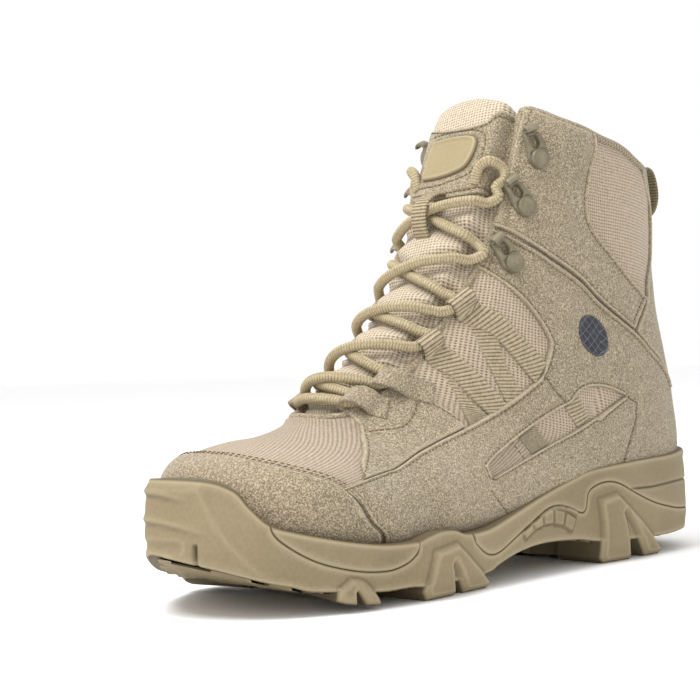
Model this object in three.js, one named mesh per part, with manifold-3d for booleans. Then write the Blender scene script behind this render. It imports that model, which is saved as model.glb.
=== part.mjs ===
// Left combat boot: +X points at the toe, +Y at the wearer's outer (lateral) side, +Z up, millimetres.
import * as THREE from 'three';
import { mergeVertices } from 'three/addons/utils/BufferGeometryUtils.js';
import Module from 'manifold-3d';

const wasm = await Module();
wasm.setup();

// Driving sizes of the whole boot
const SOLE_LENGTH = 306;
const BALL_WIDTH = 108;
const BOOT_HEIGHT = 210;
const RAND_HEIGHT = 50;

// Walls, gaps and small parts
const UPPER_WALL = 2.4;
const SUEDE = 1.4;
const WEBBING = 1.3;
const GAP = 0.3;
const MIDSOLE_SKIN = 4;
const LUG_RELIEF = 2.2;
const RIB_RELIEF = 1.1;
const SPUR_RELIEF = 4.5;
const INSOLE_THICKNESS = 5;
const LASTING_MARGIN = 11;
const TONGUE_THICKNESS = 6;
const TONGUE_HALF_WIDTH = 30;
const LACE_DIAMETER = 4.6;
const HOOK_PLATE = 1.8;
const HOOK_LENGTH = 15;
const HOOK_WIDTH = 11;
const RIVET_RADIUS = 4.3;
const PULL_LOOP_WIDTH = 17;
const LABEL_LENGTH = 17;
const LABEL_WIDTH = 12;

// Mesh fineness
const RINGS = 16;
const AROUND = 18;
const OUTLINE_STEPS = 32;
const LACE_SIDES = 5;
const TONGUE_ROWS = 12;
const TONGUE_COLUMNS = 8;

const COLOUR = {
  suede: 0xb3a283,
  canvas: 0xb5a184,
  webbing: 0xa3957a,
  rubber: 0xa39268,
  metal: 0xb5ab95,
  lace: 0xa89a7c,
  label: 0x2b2c30,
  insole: 0x8d8068,
};

// Sections of the upper. Each runs from a point on the front or top line (tx, tz) to one on the back or
// bottom line (bx, bz). x is a share of SOLE_LENGTH, z of BOOT_HEIGHT, widths of half of BALL_WIDTH.
// side is where the widest place is, topRound and lowRound are the roundness on either side of it.
const SECTIONS = [
  { tx: 0.345, tz: 1.085, bx: 0.038, bz: 0.95, lateral: 0.62, medial: 0.62, side: 0.47, topRound: 3.2, lowRound: 2.3 },
  { tx: 0.369, tz: 0.995, bx: 0.031, bz: 0.848, lateral: 0.645, medial: 0.645, side: 0.47, topRound: 3.2, lowRound: 2.3 },
  { tx: 0.395, tz: 0.905, bx: 0.022, bz: 0.752, lateral: 0.66, medial: 0.66, side: 0.47, topRound: 3.2, lowRound: 2.3 },
  { tx: 0.422, tz: 0.81, bx: 0.023, bz: 0.648, lateral: 0.66, medial: 0.655, side: 0.48, topRound: 3, lowRound: 2.35 },
  { tx: 0.458, tz: 0.714, bx: 0.019, bz: 0.538, lateral: 0.66, medial: 0.65, side: 0.5, topRound: 2.8, lowRound: 2.5 },
  { tx: 0.503, tz: 0.619, bx: 0.007, bz: 0.429, lateral: 0.67, medial: 0.65, side: 0.52, topRound: 2.6, lowRound: 2.8 },
  { tx: 0.556, tz: 0.538, bx: -0.004, bz: 0.324, lateral: 0.68, medial: 0.65, side: 0.54, topRound: 2.4, lowRound: 3.2 },
  { tx: 0.611, tz: 0.467, bx: -0.006, bz: 0.219, lateral: 0.695, medial: 0.65, side: 0.56, topRound: 2.2, lowRound: 3.4 },
  { tx: 0.663, tz: 0.41, bx: 0.014, bz: 0.133, lateral: 0.715, medial: 0.655, side: 0.58, topRound: 2.1, lowRound: 3.4 },
  { tx: 0.703, tz: 0.369, bx: 0.163, bz: 0.117, lateral: 0.755, medial: 0.67, side: 0.6, topRound: 2.1, lowRound: 3 },
  { tx: 0.742, tz: 0.333, bx: 0.359, bz: 0.102, lateral: 0.81, medial: 0.71, side: 0.62, topRound: 2.1, lowRound: 3 },
  { tx: 0.784, tz: 0.314, bx: 0.539, bz: 0.086, lateral: 0.88, medial: 0.77, side: 0.64, topRound: 2.2, lowRound: 3 },
  { tx: 0.827, tz: 0.307, bx: 0.68, bz: 0.079, lateral: 0.92, medial: 0.81, side: 0.66, topRound: 2.3, lowRound: 3 },
  { tx: 0.867, tz: 0.296, bx: 0.784, bz: 0.086, lateral: 0.86, medial: 0.74, side: 0.66, topRound: 2.4, lowRound: 2.8 },
  { tx: 0.901, tz: 0.284, bx: 0.863, bz: 0.105, lateral: 0.71, medial: 0.56, side: 0.62, topRound: 2.4, lowRound: 2.6 },
  { tx: 0.927, tz: 0.263, bx: 0.91, bz: 0.136, lateral: 0.47, medial: 0.33, side: 0.56, topRound: 2.4, lowRound: 2.4 },
  { tx: 0.94, tz: 0.236, bx: 0.933, bz: 0.178, lateral: 0.19, medial: 0.11, side: 0.5, topRound: 2.2, lowRound: 2.2 },
];

// Sole outline from above: x as a share of SOLE_LENGTH, each side's width as a share of half of BALL_WIDTH
const SOLE_OUTLINE = [
  { x: 0.0, lateral: 0.45, medial: 0.42 },
  { x: 0.02, lateral: 0.59, medial: 0.55 },
  { x: 0.055, lateral: 0.68, medial: 0.64 },
  { x: 0.11, lateral: 0.745, medial: 0.7 },
  { x: 0.2, lateral: 0.785, medial: 0.735 },
  { x: 0.33, lateral: 0.8, medial: 0.73 },
  { x: 0.46, lateral: 0.87, medial: 0.76 },
  { x: 0.59, lateral: 0.99, medial: 0.84 },
  { x: 0.7, lateral: 1.06, medial: 0.93 },
  { x: 0.8, lateral: 1.01, medial: 0.88 },
  { x: 0.88, lateral: 0.85, medial: 0.64 },
  { x: 0.94, lateral: 0.59, medial: 0.31 },
  { x: 0.97, lateral: 0.33, medial: 0.12 },
];
const HEEL_BACK = -0.026;
const TOE_FRONT = 0.983;

// How far the rubber wall stands from that outline at each height, in shares of RAND_HEIGHT
const RAND_BULGE = [
  { z: 0, out: -0.06 },
  { z: 0.35, out: 0.01 },
  { z: 1.1, out: -0.02 },
];

// Side lines of the sole, from heel to toe: x as a share of SOLE_LENGTH, z of RAND_HEIGHT
const TOP_EDGE = [
  { x: -0.05, z: 0.99 }, { x: 0.07, z: 0.92 }, { x: 0.145, z: 0.905 }, { x: 0.222, z: 0.885 },
  { x: 0.294, z: 0.855 }, { x: 0.33, z: 0.81 }, { x: 0.373, z: 0.75 }, { x: 0.425, z: 0.67 },
  { x: 0.477, z: 0.585 }, { x: 0.535, z: 0.5 }, { x: 0.57, z: 0.477 }, { x: 0.602, z: 0.483 },
  { x: 0.627, z: 0.527 }, { x: 0.657, z: 0.535 }, { x: 0.683, z: 0.508 }, { x: 0.703, z: 0.482 },
  { x: 0.752, z: 0.488 }, { x: 0.788, z: 0.516 }, { x: 0.827, z: 0.562 }, { x: 0.873, z: 0.632 },
  { x: 0.903, z: 0.7 }, { x: 0.922, z: 0.83 }, { x: 0.938, z: 0.97 }, { x: 0.97, z: 1.05 }, { x: 1.05, z: 1.06 },
];
const REAR_GROOVE = [
  { x: -0.06, z: 0.37 }, { x: 0.05, z: 0.39 }, { x: 0.105, z: 0.44 }, { x: 0.15, z: 0.51 },
  { x: 0.196, z: 0.62 }, { x: 0.226, z: 0.7 }, { x: 0.252, z: 0.735 }, { x: 0.281, z: 0.72 },
  { x: 0.303, z: 0.66 }, { x: 0.309, z: 0.54 }, { x: 0.32, z: 0.49 }, { x: 0.353, z: 0.555 },
  { x: 0.379, z: 0.585 }, { x: 0.405, z: 0.565 }, { x: 0.444, z: 0.47 }, { x: 0.49, z: 0.36 },
  { x: 0.523, z: 0.28 }, { x: 0.546, z: 0.275 }, { x: 0.565, z: 0.32 }, { x: 0.583, z: 0.4 },
];
const REAR_GROOVE_END = { x: 0.598, z: 0.6 };
const FRONT_GROOVE = [
  { x: 0.7, z: 0.6 }, { x: 0.702, z: 0.43 }, { x: 0.71, z: 0.37 }, { x: 0.727, z: 0.32 },
  { x: 0.752, z: 0.29 }, { x: 0.79, z: 0.305 }, { x: 0.827, z: 0.355 }, { x: 0.856, z: 0.42 },
  { x: 0.882, z: 0.52 }, { x: 0.9, z: 0.635 }, { x: 0.905, z: 0.8 },
];
const CORE_FLOOR = [
  { x: 0.02, z: 0.34 }, { x: 0.16, z: 0.3 }, { x: 0.3, z: 0.33 }, { x: 0.37, z: 0.34 }, { x: 0.46, z: 0.3 },
  { x: 0.54, z: 0.24 }, { x: 0.68, z: 0.19 }, { x: 0.78, z: 0.22 }, { x: 0.85, z: 0.31 }, { x: 0.89, z: 0.42 },
];
const TREAD_LINE = [
  { x: -0.06, z: 0.2 }, { x: 0.1, z: 0.17 }, { x: 0.26, z: 0.2 }, { x: 0.33, z: 0.256 }, { x: 0.41, z: 0.278 },
  { x: 0.47, z: 0.244 }, { x: 0.52, z: 0.174 }, { x: 0.55, z: 0.12 }, { x: 0.67, z: 0.11 }, { x: 0.71, z: 0.13 },
  { x: 0.76, z: 0.13 }, { x: 0.81, z: 0.16 }, { x: 0.86, z: 0.19 }, { x: 0.882, z: 0.232 }, { x: 0.915, z: 0.29 },
  { x: 0.967, z: 0.42 }, { x: 1.0, z: 0.53 }, { x: 1.05, z: 0.6 },
];

// Side faces of the lugs, as outlines in the same shares; feet at z 0 stand on the ground
const HEEL_LUG = [
  { x: 0.284, z: 0.6 }, { x: 0.238, z: 0.64 }, { x: 0.112, z: 0.05 }, { x: 0.116, z: 0 }, { x: 0.158, z: 0 },
  { x: 0.222, z: 0.44 }, { x: 0.194, z: 0 }, { x: 0.262, z: 0 }, { x: 0.272, z: 0.05 },
];
const BALL_LUG = [
  { x: 0.676, z: 0.4 }, { x: 0.626, z: 0.44 }, { x: 0.54, z: 0.06 }, { x: 0.544, z: 0 }, { x: 0.6, z: 0 },
  { x: 0.634, z: 0.26 }, { x: 0.618, z: 0 }, { x: 0.68, z: 0 }, { x: 0.69, z: 0.08 },
];
const FRONT_LUG = [
  { x: 0.828, z: 0.1 }, { x: 0.828, z: 0.2 }, { x: 0.81, z: 0.28 }, { x: 0.79, z: 0.24 }, { x: 0.766, z: 0.1 },
  { x: 0.76, z: 0.03 }, { x: 0.784, z: 0.04 }, { x: 0.8, z: 0.16 }, { x: 0.797, z: 0.05 }, { x: 0.815, z: 0.07 },
];
const TOE_GUARD = [
  { x: 1.03, z: 1.04 }, { x: 1.03, z: 0.55 }, { x: 0.967, z: 0.4 }, { x: 0.915, z: 0.27 }, { x: 0.88, z: 0.21 },
  { x: 0.876, z: 0.27 }, { x: 0.91, z: 0.4 }, { x: 0.935, z: 0.6 }, { x: 0.95, z: 0.8 }, { x: 0.96, z: 1.04 },
];
// Inner tread blocks under the foot: centre and half-lengths as shares of SOLE_LENGTH and half of BALL_WIDTH
const TREAD_BLOCKS = [
  { x: 0.15, y: 0, half: 0.026, halfWidth: 0.26 },
  { x: 0.235, y: 0, half: 0.026, halfWidth: 0.26 },
  { x: 0.57, y: 0, half: 0.022, halfWidth: 0.3 },
  { x: 0.645, y: 0, half: 0.022, halfWidth: 0.32 },
  { x: 0.725, y: 0, half: 0.024, halfWidth: 0.6 },
];
const TREAD_BLOCK_FOOT = 0.03;

// Arch fan: two rows of blocks between rays that spread from one centre, radii as shares of SOLE_LENGTH
const ARCH_FAN = {
  x: 0.405, z: -0.22, rows: [[0.108, 0.128], [0.132, 0.152]], from: 58, to: 122, blocks: 5, space: 1.6,
};

// Collar and throat: collar line from the side, throat half-widths from above
const COLLAR_LINE = [
  { x: -0.1, z: 0.86 }, { x: 0.02, z: 0.86 }, { x: 0.09, z: 0.863 }, { x: 0.13, z: 0.876 }, { x: 0.154, z: 0.891 },
  { x: 0.181, z: 0.905 }, { x: 0.221, z: 0.918 }, { x: 0.255, z: 0.932 }, { x: 0.304, z: 0.948 },
  { x: 0.335, z: 0.964 }, { x: 0.348, z: 0.97 }, { x: 0.362, z: 0.962 }, { x: 0.381, z: 0.925 },
  { x: 0.391, z: 0.875 }, { x: 0.402, z: 0.8 },
];
const THROAT = [
  { x: 0.28, half: 0.46 }, { x: 0.39, half: 0.46 }, { x: 0.46, half: 0.42 }, { x: 0.52, half: 0.38 },
  { x: 0.6, half: 0.35 }, { x: 0.66, half: 0.32 }, { x: 0.7, half: 0.27 }, { x: 0.722, half: 0.16 },
];

// Suede panels over the upper, as outlines from the side: x share of SOLE_LENGTH, z share of BOOT_HEIGHT
const COLLAR_PANEL = [
  { x: 0.236, z: 1.05 }, { x: 0.238, z: 0.907 }, { x: 0.256, z: 0.837 }, { x: 0.265, z: 0.763 },
  { x: 0.251, z: 0.718 }, { x: 0.207, z: 0.661 }, { x: 0.162, z: 0.612 }, { x: 0.111, z: 0.57 },
  { x: 0.158, z: 0.499 }, { x: 0.239, z: 0.564 }, { x: 0.285, z: 0.611 }, { x: 0.347, z: 0.659 },
  { x: 0.398, z: 0.699 }, { x: 0.424, z: 0.719 }, { x: 0.48, z: 0.75 }, { x: 0.48, z: 1.05 },
];
const QUARTER_PANEL = [
  { x: 0.48, z: 0.744 }, { x: 0.424, z: 0.713 }, { x: 0.398, z: 0.692 }, { x: 0.347, z: 0.652 },
  { x: 0.285, z: 0.604 }, { x: 0.239, z: 0.557 }, { x: 0.158, z: 0.492 }, { x: 0.12, z: 0.453 },
  { x: 0.069, z: 0.409 }, { x: 0.045, z: 0.37 }, { x: 0.024, z: 0.3 }, { x: 0.008, z: 0.2 }, { x: 0.008, z: 0 },
  { x: 0.73, z: 0 }, { x: 0.733, z: 0.115 }, { x: 0.76, z: 0.158 }, { x: 0.778, z: 0.194 }, { x: 0.8, z: 0.22 },
  { x: 0.76, z: 0.23 }, { x: 0.714, z: 0.24 }, { x: 0.686, z: 0.246 }, { x: 0.594, z: 0.285 },
  { x: 0.512, z: 0.318 }, { x: 0.451, z: 0.353 }, { x: 0.382, z: 0.402 }, { x: 0.366, z: 0.436 },
  { x: 0.356, z: 0.469 }, { x: 0.359, z: 0.49 }, { x: 0.379, z: 0.53 }, { x: 0.409, z: 0.575 },
  { x: 0.443, z: 0.615 }, { x: 0.462, z: 0.634 }, { x: 0.51, z: 0.66 }, { x: 0.53, z: 0.7 },
];
const SIDE_SLOT = [
  { x: 0.518, z: 0.231 }, { x: 0.496, z: 0.248 }, { x: 0.438, z: 0.281 }, { x: 0.36, z: 0.327 },
  { x: 0.318, z: 0.347 }, { x: 0.298, z: 0.369 }, { x: 0.271, z: 0.379 }, { x: 0.227, z: 0.372 },
  { x: 0.19, z: 0.355 }, { x: 0.309, z: 0.292 }, { x: 0.415, z: 0.247 }, { x: 0.516, z: 0.207 },
];
const TOE_CAP = [
  { x: 0.906, z: 0.4 }, { x: 0.905, z: 0.3 }, { x: 0.898, z: 0.281 }, { x: 0.857, z: 0.257 }, { x: 0.809, z: 0.229 },
  { x: 0.783, z: 0.198 }, { x: 0.765, z: 0.158 }, { x: 0.738, z: 0.115 }, { x: 0.735, z: 0 }, { x: 1.05, z: 0 },
  { x: 1.05, z: 0.4 },
];
const LACE_TAB = [
  { x: 0.7, z: 0.4 }, { x: 0.693, z: 0.33 }, { x: 0.708, z: 0.3 }, { x: 0.726, z: 0.276 }, { x: 0.746, z: 0.256 },
  { x: 0.77, z: 0.234 }, { x: 0.714, z: 0.245 }, { x: 0.594, z: 0.29 }, { x: 0.527, z: 0.317 },
  { x: 0.538, z: 0.33 }, { x: 0.563, z: 0.358 }, { x: 0.58, z: 0.38 }, { x: 0.596, z: 0.42 }, { x: 0.65, z: 0.42 },
];
const HEEL_STRIP = [
  { x: -0.1, z: 1 }, { x: 0.105, z: 1 }, { x: 0.108, z: 0.84 }, { x: 0.078, z: 0.78 }, { x: 0.065, z: 0.72 },
  { x: 0.066, z: 0.663 }, { x: 0.092, z: 0.614 }, { x: 0.106, z: 0.568 }, { x: 0.152, z: 0.497 },
  { x: 0.116, z: 0.459 }, { x: 0.065, z: 0.416 }, { x: 0.041, z: 0.375 }, { x: 0.02, z: 0.302 },
  { x: 0.003, z: 0.2 }, { x: 0.003, z: 0 }, { x: -0.1, z: 0 },
];

// Webbing that makes the two lower lace loops: its legs fan out from the throat to the band
const WEBBING_LEGS = [
  [
    { x: 0.478, z: 0.564 }, { x: 0.452, z: 0.542 }, { x: 0.418, z: 0.502 }, { x: 0.372, z: 0.44 },
    { x: 0.39, z: 0.406 }, { x: 0.402, z: 0.4 }, { x: 0.449, z: 0.48 }, { x: 0.478, z: 0.504 },
    { x: 0.505, z: 0.526 },
  ],
  [
    { x: 0.5, z: 0.532 }, { x: 0.482, z: 0.5 }, { x: 0.455, z: 0.42 }, { x: 0.43, z: 0.378 },
    { x: 0.46, z: 0.357 }, { x: 0.478, z: 0.42 }, { x: 0.498, z: 0.475 }, { x: 0.512, z: 0.516 },
  ],
  [
    { x: 0.534, z: 0.484 }, { x: 0.516, z: 0.457 }, { x: 0.497, z: 0.433 }, { x: 0.456, z: 0.361 },
    { x: 0.484, z: 0.347 }, { x: 0.503, z: 0.371 }, { x: 0.532, z: 0.403 }, { x: 0.559, z: 0.438 },
    { x: 0.565, z: 0.449 },
  ],
  [
    { x: 0.557, z: 0.455 }, { x: 0.53, z: 0.405 }, { x: 0.512, z: 0.37 }, { x: 0.497, z: 0.338 },
    { x: 0.521, z: 0.324 }, { x: 0.531, z: 0.348 }, { x: 0.548, z: 0.389 }, { x: 0.569, z: 0.436 },
  ],
];

// Lace hooks: the section and the share of its width where the rivet sits, and how far the hook points up
const HOOKS = [
  { name: 'top', place: 2.25, across: 0.87, rise: 56 },
  { name: 'middle', place: 3.3, across: 0.84, rise: 40 },
  { name: 'low', place: 4.47, across: 0.83, rise: 34 },
];

// Tongue: how far its front stands out of the upper's form, by section
const TONGUE_TAPER = 0.03;
const TONGUE_SHOULDER = 7;
const TONGUE_EDGE = 2;
const TONGUE_TOP = 0.9;
const TONGUE_ARCH = 0.42;
const TONGUE_END = 10.2;
const TONGUE_BULGE = [
  { place: 0, out: 3.5 }, { place: 2, out: 4 }, { place: 3, out: 5 }, { place: 4, out: 3.5 }, { place: 5, out: 1.5 },
  { place: 6.5, out: 0.6 }, { place: 8, out: -0.6 }, { place: 9, out: -1.8 }, { place: 9.6, out: -3.6 },
  { place: 11, out: -3.6 },
];
const TONGUE_PATCH = { from: 1.06, to: 3.3, half: 0.34, rows: 5, columns: 6 };
const TONGUE_PLATE = { from: 1.95, to: 2.9, half: 0.25, rows: 2, columns: 4 };
const KEEPER = { from: 3.42, to: 4.28, half: 0.08, roundness: 0.6 };

// Lace rows from the toe end up: sections at the lateral and medial ends of each strand
const LACE_STATIONS = [1, 0.74, 0.3, -0.3, -0.74, -1];
const LACE_SHOULDER = 1.5;
const CROSS_LIFT = 0.85;
const LACE_BAR = { place: 9.02, reach: 0.245 };
const LACE_CROSSES = [
  { low: 8.72, high: 8.05, reach: 0.28 },
  { low: 7.7, high: 6.8, reach: 0.32 },
  { low: 6.45, high: 5.85, reach: 0.36 },
  { low: 5.5, high: 4.62, reach: 0.38 },
  { low: 4.26, high: 3.42, reach: 0.38 },
];
const LACE_END = { from: { place: 3.08, reach: 0.4 }, to: { place: 2.78, reach: 0.388 } };

// Pull loop's middle line behind the collar: x share of SOLE_LENGTH, z share of BOOT_HEIGHT
const PULL_LOOP = [
  { x: 0.034, z: 0.846 }, { x: 0.006, z: 0.866 }, { x: -0.01, z: 0.882 }, { x: -0.024, z: 0.876 },
  { x: -0.034, z: 0.848 }, { x: -0.036, z: 0.81 }, { x: -0.022, z: 0.776 }, { x: 0.034, z: 0.752 },
];
const LABEL_PLACE = { x: 0.264, z: 0.488, tilt: -38 };

const halfBall = BALL_WIDTH / 2;
const lengthAt = (share) => share * SOLE_LENGTH;
const heightAt = (share) => share * BOOT_HEIGHT;
const randAt = (share) => share * RAND_HEIGHT;
const widthAt = (share) => share * halfBall;

// Catmull-Rom value between table rows, for any column; outside the table it goes on straight
function rowValue(rows, place, column) {
  const last = rows.length - 1;
  const index = Math.min(Math.max(Math.floor(place), 0), last - 1);
  const t = place - index;
  const value = (i) => rows[i][column];
  const p1 = value(index);
  const p2 = value(index + 1);
  const p0 = index > 0 ? value(index - 1) : 2 * p1 - p2;
  const p3 = index + 2 <= last ? value(index + 2) : 2 * p2 - p1;
  if (t < 0) return p1 + t * (p2 - p0) / 2;
  if (t > 1) return p2 + (t - 1) * (p3 - p1) / 2;
  const a = 2 * p1;
  const b = p2 - p0;
  const c = 2 * p0 - 5 * p1 + 4 * p2 - p3;
  const d = -p0 + 3 * p1 - 3 * p2 + p3;
  return (a + b * t + c * t * t + d * t * t * t) / 2;
}

// A point of the upper's surface. place is the section's number, angle goes from the top line (0) over
// the lateral side to the bottom line (pi) and back over the medial side (2 pi).
function surfacePoint(place, angle) {
  const at = (column) => rowValue(SECTIONS, place, column);
  const lateral = Math.sin(angle) >= 0;
  const width = widthAt(at(lateral ? 'lateral' : 'medial'));
  const side = at('side');
  const c = Math.cos(angle);
  const round = c >= 0 ? at('topRound') : at('lowRound');
  const along = Math.sign(c) * Math.abs(c) ** (2 / round);
  const across = Math.abs(Math.sin(angle)) ** (2 / round) * (lateral ? 1 : -1);
  const share = c >= 0 ? side * (1 - along) : side - (1 - side) * along;
  const x = lengthAt(at('tx') + share * (at('bx') - at('tx')));
  const z = heightAt(at('tz') + share * (at('bz') - at('tz')));
  return new THREE.Vector3(x, across * width, z);
}

function surfaceNormal(place, angle) {
  const step = 0.02;
  const along = surfacePoint(place + step, angle).sub(surfacePoint(place - step, angle));
  const around = surfacePoint(place, angle + step).sub(surfacePoint(place, angle - step));
  return along.cross(around).normalize();
}

function offsetPoint(place, angle, offset) {
  return surfacePoint(place, angle).addScaledVector(surfaceNormal(place, angle), offset);
}

// Closed solid from a stack of closed rings, each with as many points, capped by a fan at both ends
function loft(rings) {
  const count = rings[0].length;
  const positions = [];
  rings.forEach((ring) => ring.forEach((p) => positions.push(p.x, p.y, p.z)));
  const centre = (ring) => ring.reduce((sum, p) => sum.add(p), new THREE.Vector3()).divideScalar(count);
  const first = centre(rings[0]);
  const last = centre(rings[rings.length - 1]);
  positions.push(first.x, first.y, first.z, last.x, last.y, last.z);
  const index = [];
  for (let i = 0; i + 1 < rings.length; i += 1) {
    for (let j = 0; j < count; j += 1) {
      const k = (j + 1) % count;
      const a = i * count + j;
      const b = i * count + k;
      index.push(a, b, b + count, a, b + count, a + count);
    }
  }
  const firstCentre = rings.length * count;
  const base = (rings.length - 1) * count;
  for (let j = 0; j < count; j += 1) {
    const k = (j + 1) % count;
    index.push(firstCentre, k, j);
    index.push(firstCentre + 1, base + j, base + k);
  }
  return solidFromArrays(positions, index);
}

// Closed slab from a grid of points on its lower and upper faces
function slab(pointAt, rows, columns, low, high) {
  const positions = [];
  const index = [];
  const width = columns + 1;
  const size = (rows + 1) * width;
  [low, high].forEach((offset) => {
    for (let i = 0; i <= rows; i += 1) {
      for (let j = 0; j <= columns; j += 1) {
        const p = pointAt(i / rows, j / columns, offset);
        positions.push(p.x, p.y, p.z);
      }
    }
  });
  const quad = (a, b, c, d) => index.push(a, b, c, a, c, d);
  for (let i = 0; i < rows; i += 1) {
    for (let j = 0; j < columns; j += 1) {
      const a = i * width + j;
      quad(a, a + 1, a + 1 + width, a + width);
      quad(size + a, size + a + width, size + a + 1 + width, size + a + 1);
    }
  }
  for (let i = 0; i < rows; i += 1) {
    const a = i * width;
    const b = a + columns;
    quad(a, a + width, size + a + width, size + a);
    quad(b, size + b, size + b + width, b + width);
  }
  for (let j = 0; j < columns; j += 1) {
    const b = rows * width + j;
    quad(j, size + j, size + j + 1, j + 1);
    quad(b, b + 1, size + b + 1, size + b);
  }
  return solidFromArrays(positions, index);
}

function solidFromArrays(positions, index) {
  const mesh = new wasm.Mesh({
    numProp: 3,
    vertProperties: new Float32Array(positions),
    triVerts: new Uint32Array(index),
  });
  const solid = new wasm.Manifold(mesh);
  if (solid.volume() >= 0) return solid;
  const flipped = [];
  for (let i = 0; i < index.length; i += 3) flipped.push(index[i], index[i + 2], index[i + 1]);
  return solidFromArrays(positions, flipped);
}

function solidFromGeometry(source) {
  const bare = source.index ? source.toNonIndexed() : source.clone();
  bare.deleteAttribute('normal');
  bare.deleteAttribute('uv');
  const merged = mergeVertices(bare, 1e-4);
  return solidFromArrays(Array.from(merged.attributes.position.array), Array.from(merged.index.array));
}

const unite = (solids) => solids.reduce((sum, solid) => sum.add(solid));

// The largest body of a solid, without the slivers that cuts leave
const mainBody = (solid) => solid.decompose().reduce((a, b) => (a.volume() > b.volume() ? a : b));

// Block whose outline is seen from the side, from y0 to y1
function sideBlock(outline, y0, y1) {
  const shape = new THREE.Shape(outline.map((p) => new THREE.Vector2(p.x, p.z)));
  const block = new THREE.ExtrudeGeometry(shape, { depth: y1 - y0, steps: 1, bevelEnabled: false });
  block.rotateX(Math.PI / 2);
  block.translate(0, y1, 0);
  return solidFromGeometry(block);
}

// Block whose outline is seen from above, from z0 to z1
function planBlock(outline, z0, z1) {
  const shape = new THREE.Shape(outline.map((p) => new THREE.Vector2(p.x, p.y)));
  const block = new THREE.ExtrudeGeometry(shape, { depth: z1 - z0, steps: 1, bevelEnabled: false });
  block.translate(0, 0, z0);
  return solidFromGeometry(block);
}

// Smooth side line through table rows, in millimetres
function sideLine(rows, scale, steps) {
  const curve = new THREE.SplineCurve(rows.map((row) => new THREE.Vector2(lengthAt(row.x), scale(row.z))));
  return curve.getPoints(steps).map((p) => ({ x: p.x, z: p.y }));
}

const sideOutline = (rows, scale) => rows.map((row) => ({ x: lengthAt(row.x), z: scale(row.z) }));

// A side line pushed down and out at its ends by a gap, along its normals
function grown(line, gap) {
  const last = line.length - 1;
  const pushed = line.map((p, i) => {
    const before = line[Math.max(i - 1, 0)];
    const after = line[Math.min(i + 1, last)];
    const length = Math.hypot(after.x - before.x, after.z - before.z);
    return { x: p.x + (after.z - before.z) * gap / length, z: p.z - (after.x - before.x) * gap / length };
  });
  const first = pushed[0];
  const end = pushed[last];
  return [{ x: first.x - gap, z: first.z }, ...pushed, { x: end.x + gap, z: end.z }];
}

// Region between a side line and a level far above or below it
function beyondLine(line, level) {
  const first = line[0];
  const last = line[line.length - 1];
  return [...line, { x: last.x, z: level }, { x: first.x, z: level }];
}

const FAR = 400;
const SIDE = BALL_WIDTH;

// Sole outline as one closed plan curve, pushed out by a distance
const outlineCurve = new THREE.CatmullRomCurve3([
  new THREE.Vector3(lengthAt(HEEL_BACK), 0, 0),
  ...SOLE_OUTLINE.map((row) => new THREE.Vector3(lengthAt(row.x), widthAt(row.lateral), 0)),
  new THREE.Vector3(lengthAt(TOE_FRONT), 0, 0),
  ...SOLE_OUTLINE.map((row) => new THREE.Vector3(lengthAt(row.x), -widthAt(row.medial), 0)).reverse(),
], true, 'centripetal');

function soleRing(out, z) {
  const ring = [];
  for (let i = 0; i < OUTLINE_STEPS; i += 1) {
    const t = i / OUTLINE_STEPS;
    const p = outlineCurve.getPoint(t);
    const tangent = outlineCurve.getTangent(t);
    ring.push(new THREE.Vector3(p.x - tangent.y * out, p.y + tangent.x * out, z));
  }
  return ring;
}

const soleBlank = (extra) => loft(RAND_BULGE.map((row) => soleRing(randAt(row.out) + extra, randAt(row.z))));

// The upper's form, pushed out by a distance, from above the collar to the toe's tip
function form(offset) {
  const rings = [];
  const lastPlace = SECTIONS.length - 1;
  for (let i = 0; i <= RINGS; i += 1) {
    const place = lastPlace * i / RINGS;
    const ring = [];
    for (let j = 0; j < AROUND; j += 1) {
      ring.push(offsetPoint(place, 2 * Math.PI * j / AROUND, offset));
    }
    rings.push(ring);
  }
  if (offset >= 0) return loft(rings);
  const lift = new THREE.Vector3(0, 0, UPPER_WALL * 2);
  return loft([rings[0].map((p) => p.clone().add(lift)), ...rings]);
}

const outerForm = form(0);
const cupForm = form(SUEDE + GAP * 2);
const innerForm = form(-UPPER_WALL);

// Sole pieces
const topLine = sideLine(TOP_EDGE, randAt, 28);
const belowTop = sideBlock(beyondLine(topLine, -FAR), -SIDE, SIDE);
const aboveTread = sideBlock(beyondLine(sideLine(TREAD_LINE, randAt, 18), FAR), -SIDE, SIDE);
const rearRandLine = [...sideLine(REAR_GROOVE, randAt, 26), ...sideOutline([REAR_GROOVE_END], randAt)];
const frontRandLine = sideLine(FRONT_GROOVE, randAt, 12);
const coreLine = sideLine(CORE_FLOOR, randAt, 8);

// The midsole's room, grown by a gap for cutting the outsole and without it for the midsole itself
function midsoleRoom(gap) {
  const above = (line) => sideBlock(beyondLine(gap > 0 ? grown(line, gap) : line, FAR), -SIDE, SIDE);
  const core = soleBlank(gap - MIDSOLE_SKIN).intersect(above(coreLine));
  const skin = soleBlank(gap * 4).intersect(above(rearRandLine).add(above(frontRandLine)));
  return skin.add(core);
}

function lugPair(outline, relief, depth) {
  const face = sideOutline(outline, randAt);
  const pads = soleBlank(relief);
  const inner = soleBlank(-depth);
  return pads.subtract(inner).intersect(sideBlock(face, -SIDE, SIDE));
}

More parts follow.
